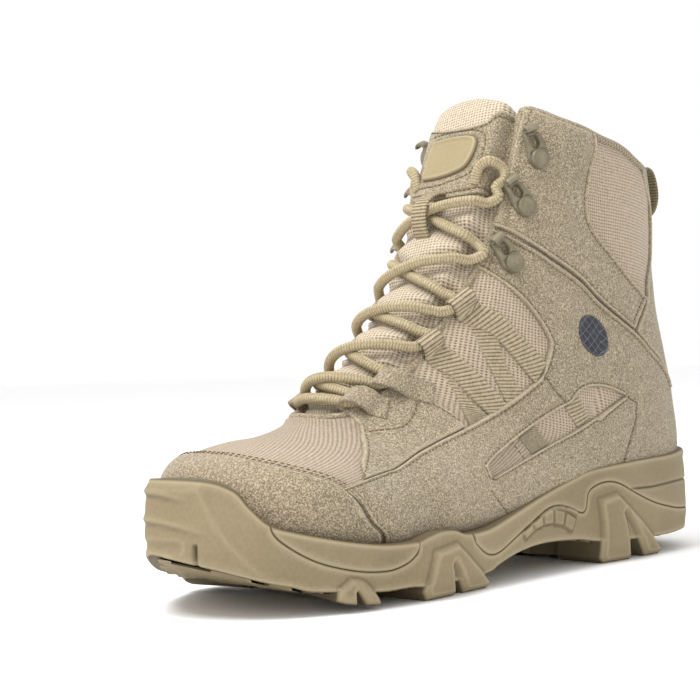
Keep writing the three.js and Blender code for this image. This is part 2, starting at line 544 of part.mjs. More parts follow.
function archFan() {
  const centre = { x: lengthAt(ARCH_FAN.x), z: randAt(ARCH_FAN.z) };
  const blocks = [];
  const turn = (ARCH_FAN.to - ARCH_FAN.from) / ARCH_FAN.blocks;
  ARCH_FAN.rows.forEach(([near, far]) => {
    for (let i = 0; i < ARCH_FAN.blocks; i += 1) {
      const start = THREE.MathUtils.degToRad(ARCH_FAN.from + i * turn + ARCH_FAN.space);
      const end = THREE.MathUtils.degToRad(ARCH_FAN.from + (i + 1) * turn - ARCH_FAN.space);
      const corner = (radius, angle) => ({
        x: centre.x + lengthAt(radius) * Math.cos(angle),
        z: centre.z + lengthAt(radius) * Math.sin(angle),
      });
      blocks.push(sideBlock(
        [corner(near, start), corner(far, start), corner(far, end), corner(near, end)], -SIDE, SIDE));
    }
  });
  return soleBlank(RIB_RELIEF).subtract(soleBlank(-LUG_RELIEF)).intersect(unite(blocks));
}

function heelSpur() {
  const reach = widthAt(0.48);
  const back = lengthAt(HEEL_BACK);
  const outline = [
    { x: back - SPUR_RELIEF * 3, z: randAt(0.5) },
    { x: back + lengthAt(0.02), z: randAt(0.46) },
    { x: back + lengthAt(0.05), z: randAt(0.1) },
    { x: back + lengthAt(0.012), z: randAt(0.04) },
    { x: back - SPUR_RELIEF * 3, z: randAt(0.2) },
  ];
  return soleBlank(SPUR_RELIEF).subtract(soleBlank(-LUG_RELIEF)).intersect(sideBlock(outline, -reach, reach));
}

function treadBlocks() {
  return unite(TREAD_BLOCKS.map((row) => {
    const x = lengthAt(row.x);
    const half = lengthAt(row.half);
    const wide = widthAt(row.halfWidth);
    const nose = half * 0.7;
    return planBlock([
      { x: x - half, y: -wide }, { x: x + half, y: -wide }, { x: x + half + nose, y: 0 },
      { x: x + half, y: wide }, { x: x - half, y: wide }, { x: x - half + nose, y: 0 },
    ], randAt(TREAD_BLOCK_FOOT), randAt(0.3));
  }));
}

function makeOutsole() {
  const body = soleBlank(0).intersect(aboveTread);
  const lugs = unite([
    lugPair(HEEL_LUG, LUG_RELIEF, widthAt(0.42)),
    lugPair(BALL_LUG, LUG_RELIEF, widthAt(0.5)),
    lugPair(FRONT_LUG, LUG_RELIEF, widthAt(0.5)),
    lugPair(TOE_GUARD, RIB_RELIEF, LUG_RELIEF),
  ]);
  return mainBody(unite([body, lugs, archFan(), heelSpur(), treadBlocks().intersect(soleBlank(0))])
    .intersect(belowTop)
    .subtract(midsoleRoom(GAP))
    .subtract(cupForm));
}

const makeMidsole = () => mainBody(midsoleRoom(0)
  .intersect(soleBlank(0))
  .intersect(belowTop)
  .subtract(cupForm));

// Upper: hollow, open at collar, throat and underneath
const collarLine = sideLine(COLLAR_LINE, heightAt, 20);
const belowCollar = sideBlock([
  ...collarLine,
  { x: lengthAt(1.1), z: heightAt(0.8) },
  { x: lengthAt(1.1), z: -FAR },
  { x: lengthAt(-0.2), z: -FAR },
], -SIDE, SIDE);

function throatBlock(inset) {
  const curve = new THREE.SplineCurve(
    THROAT.map((row) => new THREE.Vector2(lengthAt(row.x), widthAt(row.half))));
  const side = curve.getPoints(12).map((p) => ({ x: p.x - inset, y: p.y - inset }));
  const outline = [...side, ...side.map((p) => ({ x: p.x, y: -p.y })).reverse()];
  return planBlock(outline, heightAt(0.27), FAR);
}

// Bottom line of the upper from the heel seat to under the toes
const SEAT = { from: 8.2, to: 14.6, step: 0.4 };

function bottomLine(dz) {
  const line = [];
  for (let place = SEAT.from; place <= SEAT.to; place += SEAT.step) {
    const p = surfacePoint(place, Math.PI);
    line.push({ x: p.x, z: p.z + dz });
  }
  return line;
}

function soleOpening() {
  const reach = sideBlock(beyondLine(bottomLine(UPPER_WALL + LASTING_MARGIN / 4), -FAR), -SIDE, SIDE);
  return planBlock(soleRing(-LASTING_MARGIN, 0), 0, RAND_HEIGHT).intersect(reach);
}

function makeUpper() {
  return outerForm
    .subtract(innerForm)
    .intersect(belowCollar)
    .subtract(throatBlock(0))
    .subtract(soleOpening());
}

function makeInsole() {
  const top = bottomLine(UPPER_WALL + INSOLE_THICKNESS);
  const ends = [{ x: lengthAt(1.02), z: top[top.length - 1].z }, { x: lengthAt(1.02), z: 0 }];
  const start = [{ x: lengthAt(-0.02), z: 0 }, { x: lengthAt(-0.02), z: top[0].z }];
  const room = sideBlock([...top, ...ends, ...start], -SIDE, SIDE);
  return form(-UPPER_WALL - GAP).intersect(room);
}

// Overlays: a shell between two larger forms, cut to an outline from the side
const panelShell = form(GAP + SUEDE).subtract(form(GAP));
const webbingShell = form(GAP + WEBBING).subtract(form(GAP));
const throatEdge = throatBlock(-GAP);

function overlay(shell, outlines, side) {
  const [y0, y1] = side > 0 ? [GAP, SIDE] : [-SIDE, -GAP];
  const blocks = outlines.map((rows) => sideBlock(sideOutline(rows, heightAt), y0, y1));
  return mainBody(shell.intersect(unite(blocks)).intersect(belowCollar).subtract(throatEdge)
    .subtract(soleOpening()));
}

function makeQuarter(side) {
  const whole = overlay(panelShell, [QUARTER_PANEL], side);
  return mainBody(whole.subtract(sideBlock(sideOutline(SIDE_SLOT, heightAt), -SIDE, SIDE)));
}

function makeToeCap() {
  const block = sideBlock(sideOutline(TOE_CAP, heightAt), -SIDE, SIDE);
  return mainBody(panelShell.intersect(block).subtract(soleOpening()));
}

function makeHeelStrip() {
  const block = sideBlock(sideOutline(HEEL_STRIP, heightAt), -SIDE, SIDE);
  return mainBody(panelShell.intersect(block).intersect(belowCollar).subtract(soleOpening()));
}

// The angle round a section where the surface is this far out to one side
function angleAt(place, y) {
  const column = y >= 0 ? 'lateral' : 'medial';
  const share = Math.min(Math.abs(y) / widthAt(rowValue(SECTIONS, place, column)), 1);
  return Math.sign(y) * Math.asin(share ** (rowValue(SECTIONS, place, 'topRound') / 2));
}

function tableValue(rows, place, column) {
  const next = rows.findIndex((row) => row.place > place);
  if (next <= 0) return next === 0 ? rows[0][column] : rows[rows.length - 1][column];
  const a = rows[next - 1];
  const b = rows[next];
  return a[column] + (b[column] - a[column]) * (place - a.place) / (b.place - a.place);
}

function throatHalf(x) {
  const rows = THROAT.map((row) => ({ place: lengthAt(row.x), half: widthAt(row.half) }));
  return tableValue(rows, x, 'half');
}

// How far the tongue's front stands from the upper's form at a section and a distance across
function tongueRise(place, y) {
  const hidden = -(UPPER_WALL + 4 * GAP);
  const room = throatHalf(surfacePoint(place, angleAt(place, y)).x);
  const t = THREE.MathUtils.smoothstep(Math.abs(y), room - TONGUE_SHOULDER, room - TONGUE_EDGE);
  return THREE.MathUtils.lerp(tableValue(TONGUE_BULGE, place, 'out'), hidden, t);
}

function tonguePoint(place, y, above) {
  return offsetPoint(place, angleAt(place, y), tongueRise(place, y) + above);
}

const tongueHalf = (place) => TONGUE_HALF_WIDTH * (1 - TONGUE_TAPER * place);

// The tongue's body up to this far above its front
function tongueBody(above) {
  return slab((a, b, offset) => {
    const across = 2 * b - 1;
    const top = TONGUE_TOP + TONGUE_ARCH * across * across;
    const place = top + a * (TONGUE_END - top);
    return tonguePoint(place, across * tongueHalf(place), offset);
  }, TONGUE_ROWS, TONGUE_COLUMNS, -TONGUE_THICKNESS, above);
}

function makeTongue() {
  const wallAround = outerForm.subtract(form(-UPPER_WALL - GAP)).subtract(throatBlock(GAP));
  return mainBody(tongueBody(0).subtract(wallAround));
}

// A sheet on the tongue between two sections, this wide on each side
function tongueSheet(row, low, high) {
  const half = widthAt(row.half);
  return slab((a, b, offset) => tonguePoint(row.from + a * (row.to - row.from), (2 * b - 1) * half, offset),
    row.rows, row.columns, low, high);
}

const makePatch = () => mainBody(tongueSheet(TONGUE_PATCH, -SUEDE, GAP + SUEDE).subtract(tongueBody(GAP)));
const makePlate = () => mainBody(tongueSheet(TONGUE_PLATE, GAP, GAP * 2 + SUEDE * 2)
  .subtract(tongueSheet(TONGUE_PATCH, -SUEDE, GAP * 2 + SUEDE)));

// Webbing arch over the two strands that cross on the tongue
function makeKeeper() {
  const top = LACE_DIAMETER * (1 + CROSS_LIFT) + GAP * 4;
  const half = widthAt(KEEPER.half);
  return slab((a, b, offset) => {
    const lift = top * Math.sin(Math.PI * a) ** KEEPER.roundness;
    return tonguePoint(KEEPER.from + a * (KEEPER.to - KEEPER.from), (2 * b - 1) * half, offset + lift);
  }, 8, 1, GAP * 2, GAP * 2 + WEBBING);
}

// Round lace through points, with a ring of corners at each of them
function lace(points) {
  const outward = new THREE.Vector3(1, 0, 1).normalize();
  return loft(points.map((point, i) => {
    const before = points[Math.max(i - 1, 0)];
    const after = points[Math.min(i + 1, points.length - 1)];
    const across = after.clone().sub(before).cross(outward).normalize();
    const up = across.clone().cross(after.clone().sub(before)).normalize();
    return Array.from({ length: LACE_SIDES }, (_, j) => {
      const angle = 2 * Math.PI * j / LACE_SIDES;
      return point.clone().addScaledVector(across, Math.cos(angle) * LACE_DIAMETER / 2)
        .addScaledVector(up, Math.sin(angle) * LACE_DIAMETER / 2);
    });
  }));
}

// A point on a lace's middle line over the tongue or the upper's edge
function lacePoint(place, y, extra) {
  const rise = Math.max(tongueRise(place, y - Math.sign(y) * LACE_SHOULDER), 0);
  return offsetPoint(place, angleAt(place, y), rise + LACE_DIAMETER / 2 + GAP * 3 + extra);
}

// Strand from one side's section to the other side's, bulging by an extra lift in the middle
function strand(fromPlace, toPlace, reach, extra, side) {
  return lace(LACE_STATIONS.map((share) => {
    const t = (1 - share) / 2;
    const place = fromPlace + t * (toPlace - fromPlace);
    return lacePoint(place, side * share * widthAt(reach), extra * Math.sin(Math.PI * t));
  }));
}

const makeCross = (row) => strand(row.low, row.high, row.reach, 0, 1)
  .add(strand(row.low, row.high, row.reach, LACE_DIAMETER * CROSS_LIFT, -1));

// Short run of lace up one side, from one row's end to another's
function sideRun(from, to, side) {
  return lace([from, to].map((end) => lacePoint(end.place, widthAt(end.reach) * side, 0)));
}

// The whole lace: its bar, its crossings and the runs that join them, up to where it goes under the patch
function makeLace() {
  const lows = LACE_CROSSES.map((row) => ({ place: row.low, reach: row.reach }));
  const highs = LACE_CROSSES.map((row) => ({ place: row.high, reach: row.reach }));
  const starts = [LACE_BAR, ...highs, LACE_END.from];
  const ends = [...lows, LACE_END.from, LACE_END.to];
  const runs = starts.flatMap((from, i) => [1, -1].map((side) => sideRun(from, ends[i], side)));
  const bar = strand(LACE_BAR.place, LACE_BAR.place, LACE_BAR.reach, 0, 1);
  return mainBody(unite([bar, ...LACE_CROSSES.map(makeCross), ...runs]));
}

// A local frame on the upper: x along a direction between forwards and up, z out of the surface
function surfaceFrame(place, angle, riseDegrees, lift, side) {
  const step = 0.05;
  const front = surfacePoint(place, angle - side * step).sub(surfacePoint(place, angle + side * step)).normalize();
  const up = surfacePoint(place - step, angle).sub(surfacePoint(place + step, angle)).normalize();
  const normal = surfaceNormal(place, angle);
  const rise = THREE.MathUtils.degToRad(riseDegrees);
  const x = front.multiplyScalar(Math.cos(rise)).addScaledVector(up, Math.sin(rise));
  x.addScaledVector(normal, -x.dot(normal)).normalize();
  const y = normal.clone().cross(x);
  return new THREE.Matrix4().makeBasis(x, y, normal).setPosition(offsetPoint(place, angle, lift));
}

function makeHook(row, side) {
  const half = HOOK_WIDTH / 2;
  const shape = new THREE.Shape([
    new THREE.Vector2(-RIVET_RADIUS, 0),
    new THREE.Vector2(0, -half),
    new THREE.Vector2(HOOK_LENGTH, -half * 0.7),
    new THREE.Vector2(HOOK_LENGTH, half * 0.7),
    new THREE.Vector2(0, half),
  ]);
  shape.holes.push(new THREE.Path([
    new THREE.Vector2(HOOK_LENGTH * 0.34, 0),
    new THREE.Vector2(HOOK_LENGTH * 0.74, half * 0.4),
    new THREE.Vector2(HOOK_LENGTH * 0.74, -half * 0.4),
  ]));
  const plate = new THREE.ExtrudeGeometry(shape, { depth: HOOK_PLATE, bevelEnabled: false });
  const lip = new THREE.BoxGeometry(HOOK_LENGTH * 0.22, HOOK_WIDTH * 0.7, HOOK_PLATE * 2.6);
  lip.translate(HOOK_LENGTH * 0.9, 0, HOOK_PLATE * 1.6);
  const head = new THREE.LatheGeometry([
    new THREE.Vector2(0, HOOK_PLATE * 0.5),
    new THREE.Vector2(RIVET_RADIUS, HOOK_PLATE * 0.5),
    new THREE.Vector2(RIVET_RADIUS, HOOK_PLATE * 1.7),
    new THREE.Vector2(0, HOOK_PLATE * 2.3),
  ], 6);
  head.rotateX(Math.PI / 2);
  const y = side * row.across * widthAt(rowValue(SECTIONS, row.place, side > 0 ? 'lateral' : 'medial'));
  const frame = surfaceFrame(row.place, angleAt(row.place, y), row.rise, SUEDE + GAP * 2, side);
  const solid = [plate, lip, head].map((part) => solidFromGeometry(part.applyMatrix4(frame)));
  return unite(solid);
}

function makePullLoop() {
  const line = sideLine(PULL_LOOP, heightAt, 12);
  const outline = [1, -1].map((way) => line.map((p, i) => {
    const before = line[Math.max(i - 1, 0)];
    const after = line[Math.min(i + 1, line.length - 1)];
    const length = Math.hypot(after.x - before.x, after.z - before.z);
    const out = way * WEBBING / 2 / length;
    return { x: p.x - (after.z - before.z) * out, z: p.z + (after.x - before.x) * out };
  }));
  const half = PULL_LOOP_WIDTH / 2;
  const loop = sideBlock([...outline[0], ...outline[1].reverse()], -half, half);
  return mainBody(loop.subtract(form(SUEDE + GAP * 2)));
}

function makeLabel() {
  const tilt = THREE.MathUtils.degToRad(LABEL_PLACE.tilt);
  const outline = [];
  const sides = 12;
  for (let i = 0; i < sides; i += 1) {
    const angle = 2 * Math.PI * i / sides;
    const x = Math.cos(angle) * LABEL_LENGTH / 2;
    const z = Math.sin(angle) * LABEL_WIDTH / 2;
    outline.push({
      x: lengthAt(LABEL_PLACE.x) + x * Math.cos(tilt) + z * Math.sin(tilt),
      z: heightAt(LABEL_PLACE.z) - x * Math.sin(tilt) + z * Math.cos(tilt),
    });
  }
  const low = GAP * 2 + SUEDE;
  return form(low + WEBBING / 2).subtract(form(low)).intersect(sideBlock(outline, 0, SIDE));
}

const group = new THREE.Group();

function addPiece(name, solid, colour, roughness = 0.85, metalness = 0) {
  const data = solid.getMesh();
  const piece = new THREE.BufferGeometry();
  piece.setAttribute('position', new THREE.BufferAttribute(new Float32Array(data.vertProperties), 3));
  piece.setIndex(new THREE.BufferAttribute(new Uint32Array(data.triVerts), 1));
  piece.computeVertexNormals();
  const mesh = new THREE.Mesh(piece, new THREE.MeshStandardMaterial({ color: colour, roughness, metalness }));
  mesh.name = name;
  group.add(mesh);
}

const SIDES = { lateral: 1, medial: -1 };

addPiece('outsole', makeOutsole(), COLOUR.rubber);
addPiece('midsole', makeMidsole(), COLOUR.rubber);
addPiece('upper', makeUpper(), COLOUR.canvas);
addPiece('insole', makeInsole(), COLOUR.insole);
addPiece('tongue', makeTongue(), COLOUR.canvas);
addPiece('tongue_patch', makePatch(), COLOUR.suede);
addPiece('tongue_plate', makePlate(), COLOUR.rubber, 0.6);
addPiece('tongue_keeper', makeKeeper(), COLOUR.webbing);
addPiece('toe_cap', makeToeCap(), COLOUR.suede);
addPiece('heel_strip', makeHeelStrip(), COLOUR.suede);
Object.entries(SIDES).forEach(([name, side]) => {
  addPiece(`quarter_${name}`, makeQuarter(side), COLOUR.suede);
  addPiece(`collar_${name}`, overlay(panelShell, [COLLAR_PANEL], side), COLOUR.suede);
  addPiece(`lace_tab_${name}`, overlay(panelShell, [LACE_TAB], side), COLOUR.suede);
  addPiece(`webbing_${name}`, overlay(webbingShell, WEBBING_LEGS, side), COLOUR.webbing, 0.9);
  HOOKS.forEach((row) => addPiece(`hook_${row.name}_${name}`, makeHook(row, side), COLOUR.metal, 0.45, 0.4));
});
addPiece('lace', makeLace(), COLOUR.lace);
addPiece('pull_loop', makePullLoop(), COLOUR.webbing);
addPiece('side_label', makeLabel(), COLOUR.label);

// The origin is on the ground under the middle of the whole boot
const box = new THREE.Box3().setFromObject(group);
const middle = box.getCenter(new THREE.Vector3());
group.position.set(-middle.x, -middle.y, -box.min.z);

export default group;
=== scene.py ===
# Left desert combat boot. Shapes are worked out in the boot's own millimetres, then moved to the frame.
import math

import bpy
import numpy as np
from mathutils import Matrix, Vector, geometry


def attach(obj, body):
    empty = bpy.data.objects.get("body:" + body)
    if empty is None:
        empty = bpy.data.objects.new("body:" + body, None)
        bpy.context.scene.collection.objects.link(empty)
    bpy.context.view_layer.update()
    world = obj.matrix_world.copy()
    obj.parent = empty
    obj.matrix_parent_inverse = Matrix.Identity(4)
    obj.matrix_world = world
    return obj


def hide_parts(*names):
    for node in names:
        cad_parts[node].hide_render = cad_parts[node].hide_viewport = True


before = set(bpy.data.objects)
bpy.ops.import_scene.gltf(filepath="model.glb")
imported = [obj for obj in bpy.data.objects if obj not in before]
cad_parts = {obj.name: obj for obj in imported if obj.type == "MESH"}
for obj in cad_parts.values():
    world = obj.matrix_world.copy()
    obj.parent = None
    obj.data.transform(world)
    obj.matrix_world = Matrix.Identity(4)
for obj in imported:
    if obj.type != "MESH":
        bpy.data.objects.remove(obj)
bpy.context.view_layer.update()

# Driving sizes, in millimetres
SOLE_LENGTH = 306.0
HALF_BALL = 54.0
BOOT_HEIGHT = 210.0
RAND_HEIGHT = 50.0
ORIGIN = np.array([144.6128, 3.6414, 0.0])
UPPER_WALL = 2.4
SUEDE = 1.4
GAP = 0.3
TONGUE_THICKNESS = 6.0
LACE_DIAMETER = 4.6
HEEL_BACK = -0.026
TOE_FRONT = 0.983

# tx, tz, bx, bz, lateral, medial, side, topRound, lowRound
SECTIONS = [
    (0.345, 1.085, 0.038, 0.95, 0.62, 0.62, 0.47, 3.2, 2.3),
    (0.369, 0.995, 0.031, 0.848, 0.645, 0.645, 0.47, 3.2, 2.3),
    (0.395, 0.905, 0.022, 0.752, 0.66, 0.66, 0.47, 3.2, 2.3),
    (0.422, 0.81, 0.023, 0.648, 0.66, 0.655, 0.48, 3, 2.35),
    (0.458, 0.714, 0.019, 0.538, 0.66, 0.65, 0.5, 2.8, 2.5),
    (0.503, 0.619, 0.007, 0.429, 0.67, 0.65, 0.52, 2.6, 2.8),
    (0.556, 0.538, -0.004, 0.324, 0.68, 0.65, 0.54, 2.4, 3.2),
    (0.611, 0.467, -0.006, 0.219, 0.695, 0.65, 0.56, 2.2, 3.4),
    (0.663, 0.41, 0.014, 0.133, 0.715, 0.655, 0.58, 2.1, 3.4),
    (0.703, 0.369, 0.163, 0.117, 0.755, 0.67, 0.6, 2.1, 3),
    (0.742, 0.333, 0.359, 0.102, 0.81, 0.71, 0.62, 2.1, 3),
    (0.784, 0.314, 0.539, 0.086, 0.88, 0.77, 0.64, 2.2, 3),
    (0.827, 0.307, 0.68, 0.079, 0.92, 0.81, 0.66, 2.3, 3),
    (0.867, 0.296, 0.784, 0.086, 0.86, 0.74, 0.66, 2.4, 2.8),
    (0.901, 0.284, 0.863, 0.105, 0.71, 0.56, 0.62, 2.4, 2.6),
    (0.927, 0.263, 0.91, 0.136, 0.47, 0.33, 0.56, 2.4, 2.4),
    (0.94, 0.236, 0.933, 0.178, 0.19, 0.11, 0.5, 2.2, 2.2),
]
# x, lateral, medial
SOLE_OUTLINE = [
    (0.0, 0.45, 0.42), (0.02, 0.59, 0.55), (0.055, 0.68, 0.64), (0.11, 0.745, 0.7),
    (0.2, 0.785, 0.735), (0.33, 0.8, 0.73), (0.46, 0.87, 0.76), (0.59, 0.99, 0.84),
    (0.7, 1.06, 0.93), (0.8, 1.01, 0.88), (0.88, 0.85, 0.64), (0.94, 0.59, 0.31),
    (0.97, 0.33, 0.12),
]
# x, z
TOP_EDGE = [
    (-0.05, 0.99), (0.07, 0.92), (0.145, 0.905), (0.222, 0.885), (0.294, 0.855), (0.33, 0.81),
    (0.373, 0.75), (0.425, 0.67), (0.477, 0.585), (0.535, 0.5), (0.57, 0.477), (0.602, 0.483),
    (0.627, 0.527), (0.657, 0.535), (0.683, 0.508), (0.703, 0.482), (0.752, 0.488), (0.788, 0.516),
    (0.827, 0.562), (0.873, 0.632), (0.903, 0.7), (0.922, 0.83), (0.938, 0.97), (0.97, 1.05),
    (1.05, 1.06),
]
# x, z
REAR_GROOVE = [
    (-0.06, 0.37), (0.05, 0.39), (0.105, 0.44), (0.15, 0.51), (0.196, 0.62), (0.226, 0.7),
    (0.252, 0.735), (0.281, 0.72), (0.303, 0.66), (0.309, 0.54), (0.32, 0.49), (0.353, 0.555),
    (0.379, 0.585), (0.405, 0.565), (0.444, 0.47), (0.49, 0.36), (0.523, 0.28), (0.546, 0.275),
    (0.565, 0.32), (0.583, 0.4),
]
# x, z
FRONT_GROOVE = [
    (0.7, 0.6), (0.702, 0.43), (0.71, 0.37), (0.727, 0.32), (0.752, 0.29), (0.79, 0.305),
    (0.827, 0.355), (0.856, 0.42), (0.882, 0.52), (0.9, 0.635), (0.905, 0.8),
]
# x, z
TREAD_LINE = [
    (-0.06, 0.2), (0.1, 0.17), (0.26, 0.2), (0.33, 0.256), (0.41, 0.278), (0.47, 0.244),
    (0.52, 0.174), (0.55, 0.12), (0.67, 0.11), (0.71, 0.13), (0.76, 0.13), (0.81, 0.16),
    (0.86, 0.19), (0.882, 0.232), (0.915, 0.29), (0.967, 0.42), (1.0, 0.53), (1.05, 0.6),
]
# x, z
HEEL_LUG = [
    (0.284, 0.6), (0.238, 0.64), (0.112, 0.05), (0.116, 0), (0.158, 0), (0.222, 0.44), (0.194, 0),
    (0.262, 0), (0.272, 0.05),
]
# x, z
BALL_LUG = [
    (0.676, 0.4), (0.626, 0.44), (0.54, 0.06), (0.544, 0), (0.6, 0), (0.634, 0.26), (0.618, 0),
    (0.68, 0), (0.69, 0.08),
]
# x, z
FRONT_LUG = [
    (0.828, 0.1), (0.828, 0.2), (0.81, 0.28), (0.79, 0.24), (0.766, 0.1), (0.76, 0.03),
    (0.784, 0.04), (0.8, 0.16), (0.797, 0.05), (0.815, 0.07),
]
# x, z
TOE_GUARD = [
    (1.03, 1.04), (1.03, 0.55), (0.967, 0.4), (0.915, 0.27), (0.88, 0.21), (0.876, 0.27),
    (0.91, 0.4), (0.935, 0.6), (0.95, 0.8), (0.96, 1.04),
]
# x, z
COLLAR_LINE = [
    (-0.1, 0.86), (0.02, 0.86), (0.09, 0.863), (0.13, 0.876), (0.154, 0.891), (0.181, 0.905),
    (0.221, 0.918), (0.255, 0.932), (0.304, 0.948), (0.335, 0.964), (0.348, 0.97), (0.362, 0.962),
    (0.381, 0.925), (0.391, 0.875), (0.402, 0.8),
]
# x, half
THROAT = [
    (0.28, 0.46), (0.39, 0.46), (0.46, 0.42), (0.52, 0.38), (0.6, 0.35), (0.66, 0.32), (0.7, 0.27),
    (0.722, 0.16),
]
# x, z
COLLAR_PANEL = [
    (0.236, 1.05), (0.238, 0.907), (0.256, 0.837), (0.265, 0.763), (0.251, 0.718), (0.207, 0.661),
    (0.162, 0.612), (0.111, 0.57), (0.158, 0.499), (0.239, 0.564), (0.285, 0.611), (0.347, 0.659),
    (0.398, 0.699), (0.424, 0.719), (0.48, 0.75), (0.48, 1.05),
]
# x, z
QUARTER_PANEL = [
    (0.48, 0.744), (0.424, 0.713), (0.398, 0.692), (0.347, 0.652), (0.285, 0.604), (0.239, 0.557),
    (0.158, 0.492), (0.12, 0.453), (0.069, 0.409), (0.045, 0.37), (0.024, 0.3), (0.008, 0.2),
    (0.008, 0), (0.73, 0), (0.733, 0.115), (0.76, 0.158), (0.778, 0.194), (0.8, 0.22),
    (0.76, 0.23), (0.714, 0.24), (0.686, 0.246), (0.594, 0.285), (0.512, 0.318), (0.451, 0.353),
    (0.382, 0.402), (0.366, 0.436), (0.356, 0.469), (0.359, 0.49), (0.379, 0.53), (0.409, 0.575),
    (0.443, 0.615), (0.462, 0.634), (0.51, 0.66), (0.53, 0.7),
]
# x, z
SIDE_SLOT = [
    (0.518, 0.231), (0.496, 0.248), (0.438, 0.281), (0.36, 0.327), (0.318, 0.347), (0.298, 0.369),
    (0.271, 0.379), (0.227, 0.372), (0.19, 0.355), (0.309, 0.292), (0.415, 0.247), (0.516, 0.207),
]
# x, z
TOE_CAP = [
    (0.906, 0.4), (0.905, 0.3), (0.898, 0.281), (0.857, 0.257), (0.809, 0.229), (0.783, 0.198),
    (0.765, 0.158), (0.738, 0.115), (0.735, 0), (1.05, 0), (1.05, 0.4),
]
# x, z
LACE_TAB = [
    (0.7, 0.4), (0.693, 0.33), (0.708, 0.3), (0.726, 0.276), (0.746, 0.256), (0.77, 0.234),
    (0.714, 0.245), (0.594, 0.29), (0.527, 0.317), (0.538, 0.33), (0.563, 0.358), (0.58, 0.38),
    (0.596, 0.42), (0.65, 0.42),
]
# x, z
HEEL_STRIP = [
    (-0.1, 1), (0.105, 1), (0.108, 0.84), (0.078, 0.78), (0.065, 0.72), (0.066, 0.663),
    (0.092, 0.614), (0.106, 0.568), (0.152, 0.497), (0.116, 0.459), (0.065, 0.416), (0.041, 0.375),
    (0.02, 0.302), (0.003, 0.2), (0.003, 0), (-0.1, 0),
]
# place, out
TONGUE_BULGE = [
    (0, 3.5), (2, 4), (3, 5), (4, 3.5), (5, 1.5), (6.5, 0.6), (8, -0.6), (9, -1.8), (9.6, -3.6),
    (11, -3.6),
]
# low, high, reach
LACE_CROSSES = [
    (8.72, 8.05, 0.28), (7.7, 6.8, 0.32), (6.45, 5.85, 0.36), (5.5, 4.62, 0.38),
    (4.26, 3.42, 0.38),
]
# x, z
PULL_LOOP = [
    (0.034, 0.846), (0.006, 0.866), (-0.01, 0.882), (-0.024, 0.876), (-0.034, 0.848),
    (-0.036, 0.81), (-0.022, 0.776), (0.034, 0.752),
]

# Camera and light


def place_camera():
    azimuth, elevation, roll = math.radians(43), math.radians(-0.03), math.radians(-1.71)
    back = Vector((math.sin(azimuth) * math.cos(elevation), math.cos(azimuth) * math.cos(elevation),
                   math.sin(elevation)))
    right = (-back).cross(Vector((0, 0, 1))).normalized()
    up = right.cross(-back)
    x = right * math.cos(roll) + up * math.sin(roll)
    y = up * math.cos(roll) - right * math.sin(roll)
    eye = (Vector((679.9, 520.3, 99.0)) - Vector(ORIGIN)) / 1000
    data = bpy.data.cameras.new("camera")
    data.lens = 86.9
    data.sensor_width = 36
    data.clip_start = 0.01
    camera = bpy.data.objects.new("camera", data)
    camera.matrix_world = Matrix((x, y, back)).transposed().to_4x4()
    camera.matrix_world.translation = eye
    bpy.context.scene.collection.objects.link(camera)
    bpy.context.scene.camera = camera


def add_area(name, position, target, size, power, colour=(1, 1, 1)):
    data = bpy.data.lights.new(name, "AREA")
    data.shape = "RECTANGLE"
    data.size, data.size_y = size
    data.energy = power
    data.color = colour
    light = bpy.data.objects.new(name, data)
    light.location = position
    light.rotation_euler = (Vector(target) - Vector(position)).to_track_quat("-Z", "Y").to_euler()
    bpy.context.scene.collection.objects.link(light)


place_camera()


# The upper's surface

SECTION = np.array(SECTIONS, float)


def catmull(values, place):
    last = len(values) - 1
    place = np.asarray(place, float)
    i = np.clip(np.floor(place).astype(int), 0, last - 1)
    t = place - i
    p1, p2 = values[i], values[i + 1]
    p0 = np.where(i > 0, values[np.maximum(i - 1, 0)], 2 * p1 - p2)
    p3 = np.where(i + 2 <= last, values[np.minimum(i + 2, last)], 2 * p2 - p1)
    inner = (2 * p1 + (p2 - p0) * t + (2 * p0 - 5 * p1 + 4 * p2 - p3) * t ** 2
             + (-p0 + 3 * p1 - 3 * p2 + p3) * t ** 3) / 2
    return np.where(t < 0, p1 + t * (p2 - p0) / 2, np.where(t > 1, p2 + (t - 1) * (p3 - p1) / 2, inner))


def section(place, column):
    return catmull(SECTION[:, column], place)


def surface(place, angle):
    """Points of the upper's outside. angle 0 is the top line, pi the back or bottom line, minus is medial."""
    place, angle = np.broadcast_arrays(np.asarray(place, float), np.asarray(angle, float))
    angle = (angle + math.pi) % (2 * math.pi) - math.pi
    lateral = angle >= 0
    c = np.cos(angle)
    width = np.where(lateral, section(place, 4), section(place, 5)) * HALF_BALL
    side = section(place, 6)
    power = 2 / np.where(c >= 0, section(place, 7), section(place, 8))
    along = np.sign(c) * np.abs(c) ** power
    across = np.abs(np.sin(angle)) ** power * np.where(lateral, 1, -1)
    share = np.where(c >= 0, side * (1 - along), side - (1 - side) * along)
    tx, tz, bx, bz = (section(place, k) for k in range(4))
    return np.stack([SOLE_LENGTH * (tx + share * (bx - tx)), across * width,
                     BOOT_HEIGHT * (tz + share * (bz - tz))], -1)


def surface_normal(place, angle, step=0.02):
    along = surface(place + step, angle) - surface(place - step, angle)
    around = surface(place, angle + step) - surface(place, angle - step)
    n = np.cross(along, around)
    return n / np.linalg.norm(n, axis=-1, keepdims=True)


def offset_point(place, angle, offset):
    return surface(place, angle) + surface_normal(place, angle) * np.asarray(offset)[..., None]


def arc_length(path):
    return np.concatenate([[0], np.cumsum(np.linalg.norm(np.diff(path, axis=0), axis=1))])


def bell(distance, width):
    """1 on a line, falling to nothing a few widths away."""
    return np.exp(-(distance / width) ** 2)


def quarter_round(t):
    """Height of a rounded edge, 0 at its foot and 1 where it turns level."""
    return np.sqrt(np.clip(1 - (1 - t) ** 2, 0, 1))


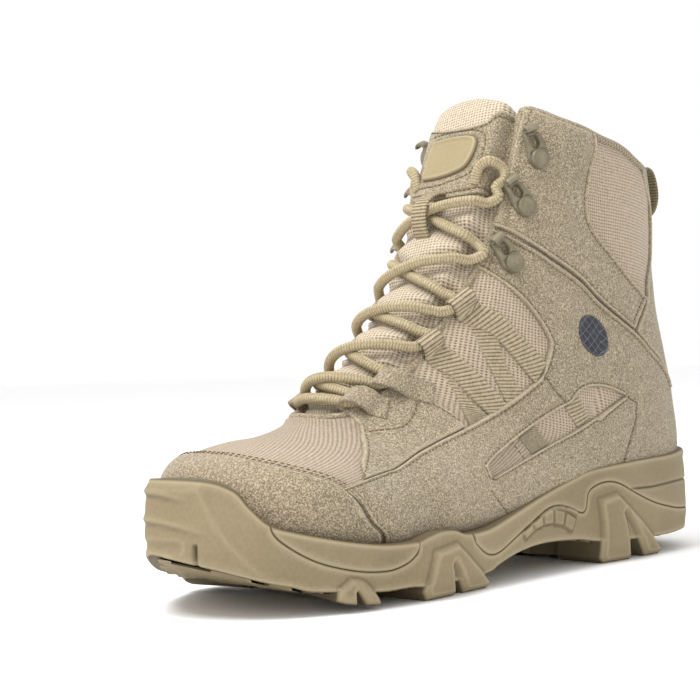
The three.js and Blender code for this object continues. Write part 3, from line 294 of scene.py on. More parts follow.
def flat_weave(along, beside):
    return np.stack([along, beside, np.zeros(len(along))], -1)


def facing(points, tris, ways):
    """The triangles, turned so that their fronts look along the given directions."""
    p, q, r = (points[tris[:, k]] for k in range(3))
    flip = (np.cross(q - p, r - p) * ways[tris[:, 0]]).sum(1) < 0
    return np.where(flip[:, None], tris[:, ::-1], tris)


def curve_span(p0, p1, p2, p3, shortest):
    """The stretch from p1 to p2 of a centripetal curve, as a function of t."""
    d0, d1, d2 = (max(np.linalg.norm(b - a) ** 0.5, shortest) for a, b in ((p0, p1), (p1, p2), (p2, p3)))
    m1 = ((p1 - p0) / d0 - (p2 - p0) / (d0 + d1) + (p2 - p1) / d1) * d1
    m2 = ((p2 - p1) / d1 - (p3 - p1) / (d1 + d2) + (p3 - p2) / d2) * d1
    return lambda t: (p1 + m1 * t + (-3 * p1 + 3 * p2 - 2 * m1 - m2) * t * t
                      + (2 * p1 - 2 * p2 + m1 + m2) * t ** 3)


# Flat map of the upper: p runs along the boot and v round it, both close to millimetres
ANGLES = np.linspace(0, math.pi, 721)
_round = surface(4.0, ANGLES)
V_OF_ANGLE = arc_length(_round)
V_MAX = V_OF_ANGLE[-1]
PLACES = np.linspace(-3, 16, 1901)
_steps = np.max([np.linalg.norm(np.diff(surface(PLACES, a), axis=0), axis=1)
                 for a in (0.1, 0.7, 1.3, 1.9, 2.4)], axis=0)
P_OF_PLACE = np.concatenate([[0], np.cumsum(_steps)])


def to_flat(place, angle):
    return np.stack([np.interp(place, PLACES, P_OF_PLACE),
                     np.sign(angle) * np.interp(np.abs(angle), ANGLES, V_OF_ANGLE)], -1)


def from_flat(flat):
    return (np.interp(flat[..., 0], P_OF_PLACE, PLACES),
            np.sign(flat[..., 1]) * np.interp(np.abs(flat[..., 1]), V_OF_ANGLE, ANGLES))


_grid = np.linspace(-3, 16, 1521)
_T = np.stack([section(_grid, 0) * SOLE_LENGTH, section(_grid, 1) * BOOT_HEIGHT], -1)
_B = np.stack([section(_grid, 2) * SOLE_LENGTH, section(_grid, 3) * BOOT_HEIGHT], -1)


def from_side(points):
    """Place and angle (0 to pi) of points (x, z) seen from the side, held to the outline past it."""
    points = np.asarray(points, float)
    axis = _B - _T
    length2 = (axis ** 2).sum(1)
    places, parts = np.empty(len(points)), np.empty(len(points))
    for n, q in enumerate(points):
        rel = q - _T
        cross = axis[:, 0] * rel[:, 1] - axis[:, 1] * rel[:, 0]
        share = (rel * axis).sum(1) / length2
        flip = np.nonzero((cross[:-1] * cross[1:] <= 0) & (share[:-1] > -0.6) & (share[:-1] < 1.4))[0]
        if len(flip):
            k = flip[np.argmin(np.abs(share[flip] - 0.5))]
            t = cross[k] / (cross[k] - cross[k + 1]) if cross[k] != cross[k + 1] else 0.0
            places[n] = _grid[k] + t * (_grid[k + 1] - _grid[k])
            parts[n] = share[k] + t * (share[k + 1] - share[k])
        else:
            k = int(np.argmin(np.abs(cross) / np.sqrt(length2)))
            places[n], parts[n] = _grid[k], share[k]
    side = section(places, 6)
    parts = np.clip(parts, 0, 1)
    with np.errstate(invalid="ignore"):
        upper = np.maximum(1 - parts / side, 0) ** (section(places, 7) / 2)
        lower = -np.maximum((parts - side) / (1 - side), 0) ** (section(places, 8) / 2)
    return places, np.arccos(np.clip(np.where(parts <= side, upper, lower), -1, 1))


def side_mm(rows):
    return np.array([(x * SOLE_LENGTH, z * BOOT_HEIGHT) for x, z in rows])


def densify(points, step, closed=False):
    points = np.asarray(points, float)
    ends = np.roll(points, -1, axis=0) if closed else points[1:]
    starts = points if closed else points[:-1]
    out = []
    for a, b in zip(starts, ends):
        n = max(1, int(math.ceil(np.linalg.norm(b - a) / step)))
        out += [a + (b - a) * i / n for i in range(n)]
    if not closed:
        out.append(points[-1])
    return np.array(out)


def rounded(points, corner_degrees=50, closed=False, step=1.2):
    """A smooth line through the points that keeps its sharp corners."""
    points = np.asarray(points, float)
    n = len(points)
    idx = range(n) if closed else range(1, n - 1)
    corner = {0, n - 1} if not closed else set()
    for i in idx:
        a, b = points[i] - points[i - 1], points[(i + 1) % n] - points[i]
        cosine = a @ b / (np.linalg.norm(a) * np.linalg.norm(b) + 1e-9)
        if math.degrees(math.acos(min(1, max(-1, cosine)))) > corner_degrees:
            corner.add(i)
    out = []
    count = n if closed else n - 1
    for i in range(count):
        p1, p2 = points[i], points[(i + 1) % n]
        p0 = 2 * p1 - p2 if i in corner else points[i - 1]
        p3 = 2 * p2 - p1 if (i + 1) % n in corner else points[(i + 2) % n]
        m = max(1, int(math.ceil(np.linalg.norm(p2 - p1) / step)))
        for k in range(m):
            t = k / m
            out.append((2 * p1 + (p2 - p0) * t + (2 * p0 - 5 * p1 + 4 * p2 - p3) * t * t
                        + (-p0 + 3 * p1 - 3 * p2 + p3) * t ** 3) / 2)
    if not closed:
        out.append(points[-1])
    return np.array(out)


# Meshes


def to_frame(points):
    return (np.asarray(points, float) - ORIGIN) / 1000


def make_object(name, points, faces, material, attributes=None, sharp=None):
    mesh = bpy.data.meshes.new(name)
    mesh.from_pydata(to_frame(points).tolist(), [], [list(map(int, f)) for f in faces])
    for key, values in (attributes or {}).items():
        values = np.asarray(values, np.float32)
        if values.ndim == 1:
            mesh.attributes.new(key, "FLOAT", "POINT").data.foreach_set("value", values)
        else:
            mesh.attributes.new(key, "FLOAT_VECTOR", "POINT").data.foreach_set("vector", values.ravel())
    mesh.polygons.foreach_set("use_smooth", np.full(len(mesh.polygons), True))
    if sharp:
        mesh.set_sharp_from_angle(angle=math.radians(sharp))
    mesh.materials.append(material)
    mesh.update()
    thing = bpy.data.objects.new(name, mesh)
    bpy.context.scene.collection.objects.link(thing)
    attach(thing, "root")
    return thing


def segment_distance(points, starts, ends, chunk=3000):
    """Distance from each point of a plane to the nearest of the segments."""
    points, starts, ends = (np.asarray(v, np.float32) for v in (points, starts, ends))
    out = np.empty(len(points), np.float32)
    dx, dy = (ends - starts).T
    dd = np.maximum(dx * dx + dy * dy, 1e-9)
    for i in range(0, len(points), chunk):
        qx = points[i:i + chunk, :1] - starts[:, 0]
        qy = points[i:i + chunk, 1:2] - starts[:, 1]
        t = np.clip((qx * dx + qy * dy) / dd, 0, 1)
        out[i:i + chunk] = np.sqrt(((t * dx - qx) ** 2 + (t * dy - qy) ** 2).min(1))
    return out


def line_distance(points, line):
    return segment_distance(points, line[:-1], line[1:])


def inside(points, loop):
    """Whether each point lies in the loop, by the crossings of its row."""
    px, py = points[:, 0], points[:, 1]
    order = np.argsort(py)
    rows = py[order]
    out = np.zeros(len(points), bool)
    for (x0, y0), (x1, y1) in zip(loop.tolist(), np.roll(loop, -1, axis=0).tolist()):
        low, high = min(y0, y1), max(y0, y1)
        if low == high:
            continue
        a, b = np.searchsorted(rows, low, "right"), np.searchsorted(rows, high, "right")
        if a < b:
            k = order[a:b]
            out[k] ^= px[k] < (x1 - x0) * (py[k] - y0) / (y1 - y0) + x0
    return out


def delaunay(points, loops):
    """Triangles between the points, with every edge of the loops kept."""
    verts = [Vector(p) for p in points.tolist()]
    edges = []
    for loop in loops:
        start, count = len(verts), len(loop)
        verts += [Vector(p) for p in loop.tolist()]
        edges += [(start + k, start + (k + 1) % count) for k in range(count)]
    out = geometry.delaunay_2d_cdt(verts, edges, [], 0, 1e-5, False)
    return np.array([tuple(v) for v in out[0]]), np.array(out[2])


def boundary_of(triangles):
    edges = np.concatenate([triangles[:, [0, 1]], triangles[:, [1, 2]], triangles[:, [2, 0]]])
    key = np.sort(edges, axis=1)
    _, first, count = np.unique(key, axis=0, return_index=True, return_counts=True)
    return edges[first[count == 1]]


def walled(tris, count):
    """The free rim of the triangles, and their faces with a wall from it to the points from count on."""
    edges = boundary_of(tris)
    rim = np.unique(edges)
    inner = {int(v): count + k for k, v in enumerate(rim)}
    return rim, tris.tolist() + [[b, a, inner[a], inner[b]] for a, b in edges.tolist()]


def thin_out(points, gap):
    """One point for each cell of a grid."""
    if not len(points):
        return np.zeros((0, 2))
    _, first = np.unique(np.round(points / gap).astype(int), axis=0, return_index=True)
    return points[np.sort(first)]


def fill_region(loops, keep, spacing, lines=(), rings=(0.25, 0.8, 1.5)):
    """Fine triangles over the region where keep(flags of the loops) holds, as points, triangles and edges."""

    def member(points):
        return keep(np.array([inside(points, loop) for loop in loops]))

    coords, tris = delaunay(np.zeros((0, 2)), loops)
    edges = boundary_of(tris[member(coords[tris].mean(1))])
    starts, ends = coords[edges[:, 0]], coords[edges[:, 1]]
    low, high = np.minimum(starts.min(0), ends.min(0)), np.maximum(starts.max(0), ends.max(0))
    rows = np.arange(low[1], high[1] + spacing, spacing * 0.87)
    cols = np.arange(low[0], high[0] + spacing, spacing)
    gx, gy = np.meshgrid(cols, rows)
    gx[1::2] += spacing / 2
    grid = np.stack([gx.ravel(), gy.ravel()], -1)
    d = ends - starts
    unit = d / np.maximum(np.linalg.norm(d, axis=1, keepdims=True), 1e-9)
    side = np.stack([-unit[:, 1], unit[:, 0]], -1)
    extra = []
    for ring in rings:
        for base in ((starts + ends) / 2, starts):
            for way in (1, -1):
                q = base + side * way * ring
                extra.append(q[segment_distance(q, starts, ends) > ring * 0.9])
    for line, offsets in lines:
        t = np.gradient(line, axis=0)
        t /= np.maximum(np.linalg.norm(t, axis=1, keepdims=True), 1e-9)
        nrm = np.stack([-t[:, 1], t[:, 0]], -1)
        for off in offsets:
            q = line + nrm * off
            extra.append(q[segment_distance(q, starts, ends) > 0.3])
    extra = np.concatenate(extra) if extra else np.zeros((0, 2))
    extra = thin_out(extra[member(extra)], 0.24)
    grid = grid[member(grid)]
    if len(grid):
        grid = grid[segment_distance(grid, starts, ends) > max(rings) + spacing * 0.5]
    if len(extra) and len(grid):
        cell = spacing * 0.62
        taken = {tuple(q) for q in np.round(extra / cell).astype(int).tolist()}
        grid = grid[[tuple(q) not in taken for q in np.round(grid / cell).astype(int).tolist()]]
    coords, tris = delaunay(np.concatenate([extra, grid]), loops)
    tris = tris[member(coords[tris].mean(1))]
    used = np.unique(tris)
    index = np.full(len(coords), -1)
    index[used] = np.arange(len(used))
    return coords[used], index[tris], (starts, ends)


# Materials


def srgb(r, g, b):
    return tuple(((v / 255 + 0.055) / 1.055) ** 2.4 if v > 10 else v / 255 / 12.92 for v in (r, g, b)) + (1,)


class Shader:
    """Short way to write a node material."""

    def __init__(self, name, roughness=0.9, sheen=0.0, metallic=0.0):
        self.material = bpy.data.materials.new(name)
        self.material.use_nodes = True
        self.nodes = self.material.node_tree.nodes
        self.links = self.material.node_tree.links
        self.bsdf = next(n for n in self.nodes if n.type == "BSDF_PRINCIPLED")
        self.bsdf.inputs["Roughness"].default_value = roughness
        self.bsdf.inputs["Metallic"].default_value = metallic
        self.bsdf.inputs["Sheen Weight"].default_value = sheen
        self.bsdf.inputs["Sheen Roughness"].default_value = 0.6
        self.bsdf.inputs["Specular IOR Level"].default_value = 0.25
        self.coords = self.nodes.new("ShaderNodeTexCoord").outputs["Object"]

    def put(self, socket, value):
        if hasattr(value, "is_linked"):
            self.links.new(value, socket)
        else:
            socket.default_value = value

    def math(self, kind, a, b=0.0, c=0.0):
        node = self.nodes.new("ShaderNodeMath")
        node.operation = kind
        for socket, value in zip(node.inputs, (a, b, c)):
            self.put(socket, value)
        return node.outputs[0]

    def noise(self, scale, detail=2.0, rough=0.5, vector=None):
        node = self.nodes.new("ShaderNodeTexNoise")
        self.links.new(vector or self.coords, node.inputs["Vector"])
        node.inputs["Scale"].default_value = scale
        node.inputs["Detail"].default_value = detail
        node.inputs["Roughness"].default_value = rough
        return node.outputs[0]

    def ramp(self, value, stops):
        node = self.nodes.new("ShaderNodeValToRGB")
        self.links.new(value, node.inputs[0])
        elements = node.color_ramp.elements
        while len(elements) < len(stops):
            elements.new(0.5)
        for element, (at, colour) in zip(elements, stops):
            element.position = at
            element.color = colour
        return node.outputs[0]

    def mix(self, factor, a, b, kind="MIX"):
        node = self.nodes.new("ShaderNodeMix")
        node.data_type = "RGBA"
        node.blend_type = kind
        self.put(node.inputs[0], factor)
        self.put(node.inputs[6], a)
        self.put(node.inputs[7], b)
        return node.outputs[2]

    def attribute(self, name, vector=False):
        node = self.nodes.new("ShaderNodeAttribute")
        node.attribute_name = name
        return node.outputs["Vector" if vector else "Fac"]

    def split(self, vector):
        node = self.nodes.new("ShaderNodeSeparateXYZ")
        self.links.new(vector, node.inputs[0])
        return node.outputs

    def bump(self, height, distance, strength=1.0, normal=None):
        node = self.nodes.new("ShaderNodeBump")
        node.inputs["Strength"].default_value = strength
        node.inputs["Distance"].default_value = distance
        self.links.new(height, node.inputs["Height"])
        if normal is not None:
            self.links.new(normal, node.inputs["Normal"])
        return node.outputs[0]

    def finish(self, colour, normal=None):
        self.put(self.bsdf.inputs["Base Color"], colour)
        if normal is not None:
            self.links.new(normal, self.bsdf.inputs["Normal"])
        return self.material


def painted_shade_and_highlight(s, colour, seam=srgb(78, 66, 46), edge=srgb(206, 192, 164), amount=0.75):
    """Darker in seams, grooves and under parts as painted shade, and lighter along raised edges and crests as
    painted highlight.
    """
    colour = s.mix(s.math("MULTIPLY", s.attribute("seam"), amount), colour, seam)
    return s.mix(s.math("MULTIPLY", s.attribute("crest_highlight"), 0.45), colour, edge)


def make_suede():
    s = Shader("suede", 0.95, 0.2)
    fine = s.noise(1550, 1.0, 0.6)
    tone = s.ramp(fine, [(0.37, srgb(88, 77, 58)), (0.46, srgb(128, 116, 93)), (0.54, srgb(156, 142, 117)),
                         (0.63, srgb(202, 187, 159))])
    clump = s.ramp(s.noise(420, 3.0, 0.6), [(0.38, srgb(114, 102, 81)), (0.62, srgb(166, 151, 126))])
    colour = s.mix(0.28, tone, clump)
    warm = s.ramp(s.noise(14, 2.0), [(0.38, srgb(142, 131, 105)), (0.62, srgb(166, 147, 121))])
    colour = s.mix(0.2, colour, warm)
    return s.finish(painted_shade_and_highlight(s, colour), s.bump(fine, 0.0006, 0.9))


def make_weave(name, light, dark, pitch=1.5, deep=0.8, pits=0.8):
    s = Shader(name, 0.9, 0.15)
    x, y, _ = s.split(s.attribute("weave", True))
    k = 2 * math.pi / pitch
    one = s.math("SINE", s.math("MULTIPLY", s.math("ADD", x, y), k * 0.71))
    two = s.math("SINE", s.math("MULTIPLY", s.math("SUBTRACT", x, y), k * 0.71))
    height = s.math("ADD", s.math("MULTIPLY", s.math("ADD", one, two), 0.25), 0.5)
    colour = s.ramp(height, [(0.12, dark), (0.55, light)])
    flat = s.ramp(s.noise(24, 2.0), [(0.35, tuple(0.82 * v for v in light[:3]) + (1,)), (0.7, light)])
    colour = s.mix(1 - pits, colour, flat)
    colour = s.mix(0.22, colour, s.ramp(s.noise(1100, 1.0), [(0.35, dark), (0.65, light)]))
    return s.finish(painted_shade_and_highlight(s, colour), s.bump(height, 0.0004, deep))


def make_ribbed(name, light, dark, pitch=1.7):
    s = Shader(name, 0.9, 0.12)
    x, y, _ = s.split(s.attribute("weave", True))
    rib = s.math("ABSOLUTE", s.math("SINE", s.math("MULTIPLY", x, math.pi / pitch)))
    thread = s.math("SINE", s.math("MULTIPLY", y, 2 * math.pi / 0.9))
    height = s.math("ADD", rib, s.math("MULTIPLY", thread, 0.12))
    colour = s.ramp(rib, [(0.1, dark), (0.75, light)])
    colour = s.mix(0.3, colour, s.ramp(s.noise(700, 3.0), [(0.35, dark), (0.65, light)]))
    return s.finish(painted_shade_and_highlight(s, colour), s.bump(height, 0.0006, 0.9))


def make_rubber(name, light, dark, roughness=0.66):
    s = Shader(name, roughness)
    tone = s.ramp(s.noise(18, 3.0), [(0.35, dark), (0.68, light)])
    grain = s.noise(1400, 2.0)
    colour = s.mix(0.25, tone, s.ramp(s.noise(700, 2.0), [(0.4, dark), (0.6, light)]))
    # Painted shade in the rubber's grooves and painted highlight on its crests, in rubber tones.
    colour = painted_shade_and_highlight(s, colour, srgb(72, 62, 44), srgb(186, 172, 142), 0.85)
    return s.finish(colour, s.bump(grain, 0.00012, 0.6))


def make_plain(name, light, dark, roughness, metallic=0.0, scale=300, bump=0.00015):
    s = Shader(name, roughness, 0.0, metallic)
    n = s.noise(scale, 3.0)
    colour = s.ramp(n, [(0.35, dark), (0.65, light)])
    return s.finish(painted_shade_and_highlight(s, colour), s.bump(n, bump, 0.5))


SUEDE_LOOK = make_suede()
CANVAS = make_weave("canvas", srgb(196, 178, 154), srgb(74, 62, 45), 1.45)
# A lighter copy of the upper's canvas for the tongue: painted light.
TONGUE_CANVAS_LIT = make_weave("tongue_canvas_lit", srgb(210, 194, 169), srgb(82, 69, 51), 1.45)
# A darker copy of the upper's canvas for the rear collar roll: painted shade.
COLLAR_CANVAS_SHADED = make_weave("collar_canvas_shaded", srgb(170, 154, 130), srgb(70, 59, 42), 1.45, 0.9, 0.9)
LINING = make_weave("lining_mesh", srgb(190, 176, 150), srgb(76, 65, 48), 1.7, 1.0, 0.95)
WEBBING = make_ribbed("webbing", srgb(186, 170, 140), srgb(84, 73, 54))
KEEPER_WEB = make_ribbed("keeper_webbing", srgb(182, 166, 132), srgb(84, 73, 50), 1.5)
LOOP_WEB = make_ribbed("loop_webbing", srgb(150, 136, 104), srgb(78, 68, 46), 1.5)
RUBBER = make_rubber("sole_rubber", srgb(144, 130, 102), srgb(126, 113, 86))
MIDSOLE_RUBBER = make_rubber("midsole_rubber", srgb(144, 130, 102), srgb(126, 113, 87), 0.6)
PLATE = make_rubber("plate_rubber", srgb(160, 145, 112), srgb(144, 130, 98), 0.42)
HOOK_PAINT = make_plain("hook_paint", srgb(134, 125, 104), srgb(117, 109, 89), 0.42, 0.15)
LACE = make_plain("lace_braid", srgb(186, 171, 138), srgb(162, 147, 115), 0.8, 0.0, 900, 0.0002)
THREAD = make_plain("thread", srgb(128, 112, 84), srgb(96, 82, 58), 0.9)
PALE_THREAD = make_plain("pale_thread", srgb(232, 220, 192), srgb(206, 190, 158), 0.85)
INSOLE_CLOTH = make_weave("insole_cloth", srgb(150, 136, 108), srgb(112, 100, 78), 1.6)


# Upper and its panels

# Soft form on top of the sections, seen from the side: x, z, reach in x, reach in z, height in millimetres
SWELLS = [
    (0.16, 0.74, 0.075, 0.10, 2.2),
    (0.30, 0.87, 0.07, 0.07, 1.0),
    (0.33, 0.74, 0.05, 0.06, 0.7),
    (0.20, 0.44, 0.09, 0.06, 0.8),
    (0.43, 0.55, 0.05, 0.05, 0.8),
    (0.60, 0.22, 0.10, 0.05, 0.9),
    (0.35, 0.24, 0.12, 0.06, 0.6),
    (0.80, 0.25, 0.05, 0.05, 0.5),
]
# Soft folds where the boot flexes, seen from the side: the line, its depth and half width in millimetres
FOLDS = [
    ([(0.70, 0.33), (0.675, 0.27), (0.655, 0.2), (0.65, 0.15)], -0.55, 5.0),
    ([(0.735, 0.30), (0.715, 0.24), (0.70, 0.17)], -0.45, 4.5),
    ([(0.64, 0.28), (0.62, 0.22), (0.61, 0.16)], 0.4, 6.0),
    ([(0.34, 0.64), (0.27, 0.57), (0.20, 0.50), (0.15, 0.45)], -0.5, 5.0),
    ([(0.38, 0.60), (0.31, 0.53), (0.26, 0.44), (0.24, 0.36)], 0.45, 7.0),
    ([(0.06, 0.64), (0.10, 0.60), (0.15, 0.53)], -0.5, 5.0),
    ([(0.24, 0.70), (0.31, 0.73), (0.38, 0.76)], -0.45, 5.5),
    ([(0.04, 0.33), (0.10, 0.30), (0.16, 0.24)], -0.4, 6.0),
]


def soft_form(points):
    """How far the soft upper stands from its sections at these points of the surface."""
    x, y, z = points[:, 0], points[:, 1], points[:, 2]
    sx, sz = x / SOLE_LENGTH, z / BOOT_HEIGHT
    out = np.zeros(len(points))
    for cx, cz, rx, rz, height in SWELLS:
        out += height * np.exp(-((sx - cx) / rx) ** 2 - ((sz - cz) / rz) ** 2)
    seen = np.stack([x, z], -1)
    for line, depth, width in FOLDS:
        path = rounded(side_mm(line), 180, step=6)
        near = (np.abs(seen - path.mean(0)) < np.ptp(path, axis=0) / 2 + 2.5 * width).all(1)
        out[near] += depth * np.exp(-(line_distance(seen[near], path) / width) ** 2)
    wave = np.sin(x / 17 + y / 13) * np.sin(z / 15 - y / 19) + 0.6 * np.sin(x / 7.3 - z / 9.1 + y / 8)
    return out + 0.22 * wave


def throat_half(x):
    rows = np.array(THROAT)
    return np.interp(x, rows[:, 0] * SOLE_LENGTH, rows[:, 1] * HALF_BALL)


def angle_at(place, y):
    place = np.asarray(place, float)
    width = np.where(np.asarray(y) >= 0, section(place, 4), section(place, 5)) * HALF_BALL
    share = np.clip(np.abs(y) / width, 0, 1)
    return np.sign(y) * np.arcsin(share ** (section(place, 7) / 2))


def throat_edge(gap=0.0):
    """Place and angle down the lateral throat edge, from above the collar to the vamp."""
    places = np.arange(-0.4, 9.62, 0.06)
    angle = np.full(len(places), 0.2)
    for _ in range(8):
        x = surface(places, angle)[:, 0]
        angle = angle_at(places, throat_half(x) + gap)
    x = surface(places, angle)[:, 0]
    keep = x < THROAT[-1][0] * SOLE_LENGTH + gap
    places, angle = places[keep], angle[keep]
    last = angle_at(places[-1], np.linspace(THROAT[-1][1] * HALF_BALL + gap, 0.0, 8))
    return np.append(places, np.full(8, places[-1] + 0.02)), np.append(angle, last)


def lower_line(drop=7.0):
    rows = np.array(TOP_EDGE)
    x = np.arange(-4.0, 292.0, 2.0)
    z = np.interp(x, rows[:, 0] * SOLE_LENGTH, rows[:, 1] * RAND_HEIGHT) - drop
    return np.stack([x, z], -1)


def flat_to_point(flat, height):
    place, angle = from_flat(flat)
    base = surface(place, angle)
    return base + surface_normal(place, angle) * (height + soft_form(base))[:, None]


def capsule():
    sides, rings = 6, [(-0.5, 0.0), (-0.42, 0.75), (-0.2, 1.0), (0.2, 1.0), (0.42, 0.75), (0.5, 0.0)]
    points, faces = [], []
    for along, radius in rings:
        for k in range(sides):
            a = 2 * math.pi * k / sides
            points.append((along, radius * math.cos(a), radius * math.sin(a)))
    for i in range(len(rings) - 1):
        for k in range(sides):
            n = (k + 1) % sides
            faces.append((i * sides + k, (i + 1) * sides + k, (i + 1) * sides + n, i * sides + n))
    return np.array(points), np.array(faces)


CAPSULE = capsule()


def stitch_points(path, normals, pitch, length, radius, tilt=0.0):
    """Points and faces of a row of stitches along a path."""
    step = np.linalg.norm(np.diff(path, axis=0), axis=1)
    at = np.concatenate([[0], np.cumsum(step)])
    count = int(at[-1] / pitch)
    if count < 1:
        return np.zeros((0, 3)), np.zeros((0, 4), int)
    mids = (np.arange(count) + 0.5) * at[-1] / count
    centre = np.stack([np.interp(mids, at, path[:, k]) for k in range(3)], -1)
    ahead = np.stack([np.interp(mids + 0.6, at, path[:, k]) for k in range(3)], -1)
    behind = np.stack([np.interp(mids - 0.6, at, path[:, k]) for k in range(3)], -1)
    up = np.stack([np.interp(mids, at, normals[:, k]) for k in range(3)], -1)
    tangent = ahead - behind
    tangent /= np.linalg.norm(tangent, axis=1, keepdims=True)
    across = np.cross(up, tangent)
    across /= np.linalg.norm(across, axis=1, keepdims=True)
    tangent = tangent * math.cos(tilt) + across * math.sin(tilt)
    across = np.cross(up, tangent)
    shape, faces = CAPSULE
    pts = (centre[:, None] + tangent[:, None] * shape[None, :, :1] * length
           + across[:, None] * shape[None, :, 1:2] * radius
           + up[:, None] * shape[None, :, 2:3] * radius * 0.8)
    all_faces = (faces[None] + (np.arange(count) * len(shape))[:, None, None]).reshape(-1, 4)
    return pts.reshape(-1, 3), all_faces


class Stitches:
    def __init__(self):
        self.points, self.faces, self.count = [], [], 0

    def row(self, flat, height, pitch=2.5, length=1.7, radius=0.3, tilt=0.12):
        """A row along a line of the flat map, where the upper has it."""
        kept = inside(flat, BOTH)
        cuts = np.nonzero(np.diff(kept.astype(int)))[0] + 1
        for run, shown in zip(np.split(flat, cuts), np.split(kept, cuts)):
            if shown[0] and len(run) > 4:
                path = flat_to_point(run, np.full(len(run), height))
                self.add(path, surface_normal(*from_flat(run)), pitch, length, radius, tilt)

    def add(self, path, normals, pitch=2.5, length=1.7, radius=0.3, tilt=0.12):
        pts, faces = stitch_points(path, normals, pitch, length, radius, tilt)
        self.points.append(pts)
        self.faces.append(faces + self.count)
        self.count += len(pts)

    def build(self, name, material):
        return make_object(name, np.concatenate(self.points), np.concatenate(self.faces), material)


def replace(node):
    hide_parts(node)


# Domains of the upper on the flat map


def both_domain():
    """The whole upper on the flat map, lateral and medial, open only at collar, throat and sole."""
    collar = rounded(side_mm(COLLAR_LINE), 60, step=1.2)
    collar = collar[collar[:, 0] > 0.033 * SOLE_LENGTH]
    collar_flat = to_flat(*from_side(collar))
    throat_flat = to_flat(*throat_edge())
    d = np.abs(collar_flat[:, None, :] - throat_flat[None]).sum(2)
    i, j = np.unravel_index(np.argmin(d), d.shape)
    collar_flat, throat_flat = collar_flat[:i + 1], throat_flat[j:]
    place, angle = from_side(lower_line())
    low = to_flat(place, angle)
    low = low[(low[:, 1] > 1.0) & (place > 6.2)]
    back_top = np.array([[collar_flat[0, 0], V_MAX]])
    back_low = np.array([[low[0, 0], V_MAX]])
    rim = np.concatenate([back_top, collar_flat, throat_flat[1:]])
    foot = np.concatenate([back_low, low])
    lateral_rim, medial_rim = rim, rim * MIRROR
    medial_back = densify(np.concatenate([medial_rim[:1], foot[:1] * MIRROR]), 1.2)[1:-1]
    lateral_back = densify(np.concatenate([foot[:1], lateral_rim[:1]]), 1.2)[1:-1]
    loop = np.concatenate([lateral_rim, medial_rim[::-1], medial_back, foot * MIRROR, foot[::-1],
                           lateral_back])
    gap = np.linalg.norm(loop - np.roll(loop, 1, axis=0), axis=1)
    return loop[gap > 0.02], rim, foot


MIRROR = np.array([1.0, -1.0])
BOTH, RIM, FOOT = both_domain()


def back_domain():
    """The heel on the flat map, with the back line in its middle."""
    top = RIM[(RIM[:, 1] > 0.55 * V_MAX) & (RIM[:, 0] < RIM[0, 0] + 40)]
    foot = FOOT[FOOT[:, 1] > 0.45 * V_MAX]
    foot = foot[foot[:, 0] < foot[0, 0] + 60]
    top, foot = top - [0, V_MAX], foot - [0, V_MAX]
    loop = np.concatenate([top[::-1], top[1:] * MIRROR, (foot * MIRROR)[::-1], foot[1:]])
    return loop


BACK = back_domain()


def wrapped(flat):
    """Swaps between v measured from the top line and v measured from the back line."""
    v = flat[:, 1]
    return np.stack([flat[:, 0], np.where(v > 0, v - V_MAX, v + V_MAX)], -1)


def flat_line(rows, side=1, corner=50, closed=False, step=1.2):
    line = rounded(side_mm(rows), corner, closed=closed, step=step)
    flat = to_flat(*from_side(line))
    return flat if side > 0 else flat * MIRROR


def mirrored(flat):
    return flat * MIRROR


def shift_line(line, distance):
    t = np.gradient(line, axis=0)
    t /= np.maximum(np.linalg.norm(t, axis=1, keepdims=True), 1e-9)
    return line + np.stack([-t[:, 1], t[:, 0]], -1) * distance


def skin(name, loops, keep, material, top, spacing=1.2, low=-0.4, edge=0.8, wrap=False, relief=(),
         grain=(1.0, 0.0), swell=None, rings=(0.25, 0.8, 1.5), along=None):
    """A fine mesh of one panel. relief rows are (line, height, half width, how dark), where how dark is
    painted shade in a groove and a minus value is painted highlight on a ridge.
    """
    lines = [(line, (0.0, -width * 0.55, width * 0.55, -width * 1.2, width * 1.2))
             for line, _, width, _ in relief if width < 1.2]
    flat, tris, (starts, ends) = fill_region(loops, keep, spacing, lines, rings)
    d = segment_distance(flat, starts, ends)
    true = wrapped(flat) if wrap else flat
    place, angle = from_flat(true)
    base = surface(place, angle)
    nrm = surface_normal(place, angle)
    t = np.clip(d / edge, 0, 1)
    height = low + (top - low) * quarter_round(t)
    # Painted shade along the panel's cut edge, and painted highlight on the crest of its rounded edge.
    seam = np.clip(1 - d / 0.35, 0, 1) * 0.9
    crest_highlight = np.exp(-((d - edge * 1.1) / (edge * 0.7)) ** 2) * (d > 0.2)
    for line, rise, width, dark in relief:
        near = ((flat > line.min(0) - 3 * width) & (flat < line.max(0) + 3 * width)).all(1)
        ds = line_distance(flat[near], line)
        height[near] += rise * bell(ds, width)
        # Painted shade in the grooves of the relief, painted highlight on its ridges and rolls.
        if dark > 0:
            seam[near] = np.maximum(seam[near], dark * np.exp(-(ds / (width * 0.9)) ** 2))
        else:
            crest_highlight[near] = np.maximum(crest_highlight[near], -dark * bell(ds, width))
    height = height + soft_form(base)
    if swell is not None:
        height = height + swell(flat, base, d)
    a, b = grain
    weave = flat_weave(true[:, 0] * a - true[:, 1] * b, true[:, 0] * b + true[:, 1] * a)
    if along is not None:
        weave = flat_weave(*along_line(flat, along))
    points = base + nrm * height[:, None]
    tris = facing(points, tris, nrm)
    return make_object(name, points, tris, material, {"seam": seam, "crest_highlight": crest_highlight, "weave": weave})


def inset(line, distance, panel):
    """The line moved into a panel, or with a minus sign out of it."""
    shifted = shift_line(line, abs(distance))
    way = 1 if inside(shifted[len(line) // 2][None], panel)[0] == (distance > 0) else -1
    return shift_line(line, abs(distance) * way)


def resampled(line, count):
    at = arc_length(line)
    return np.stack([np.interp(np.linspace(0, at[-1], count), at, line[:, k]) for k in (0, 1)], -1)


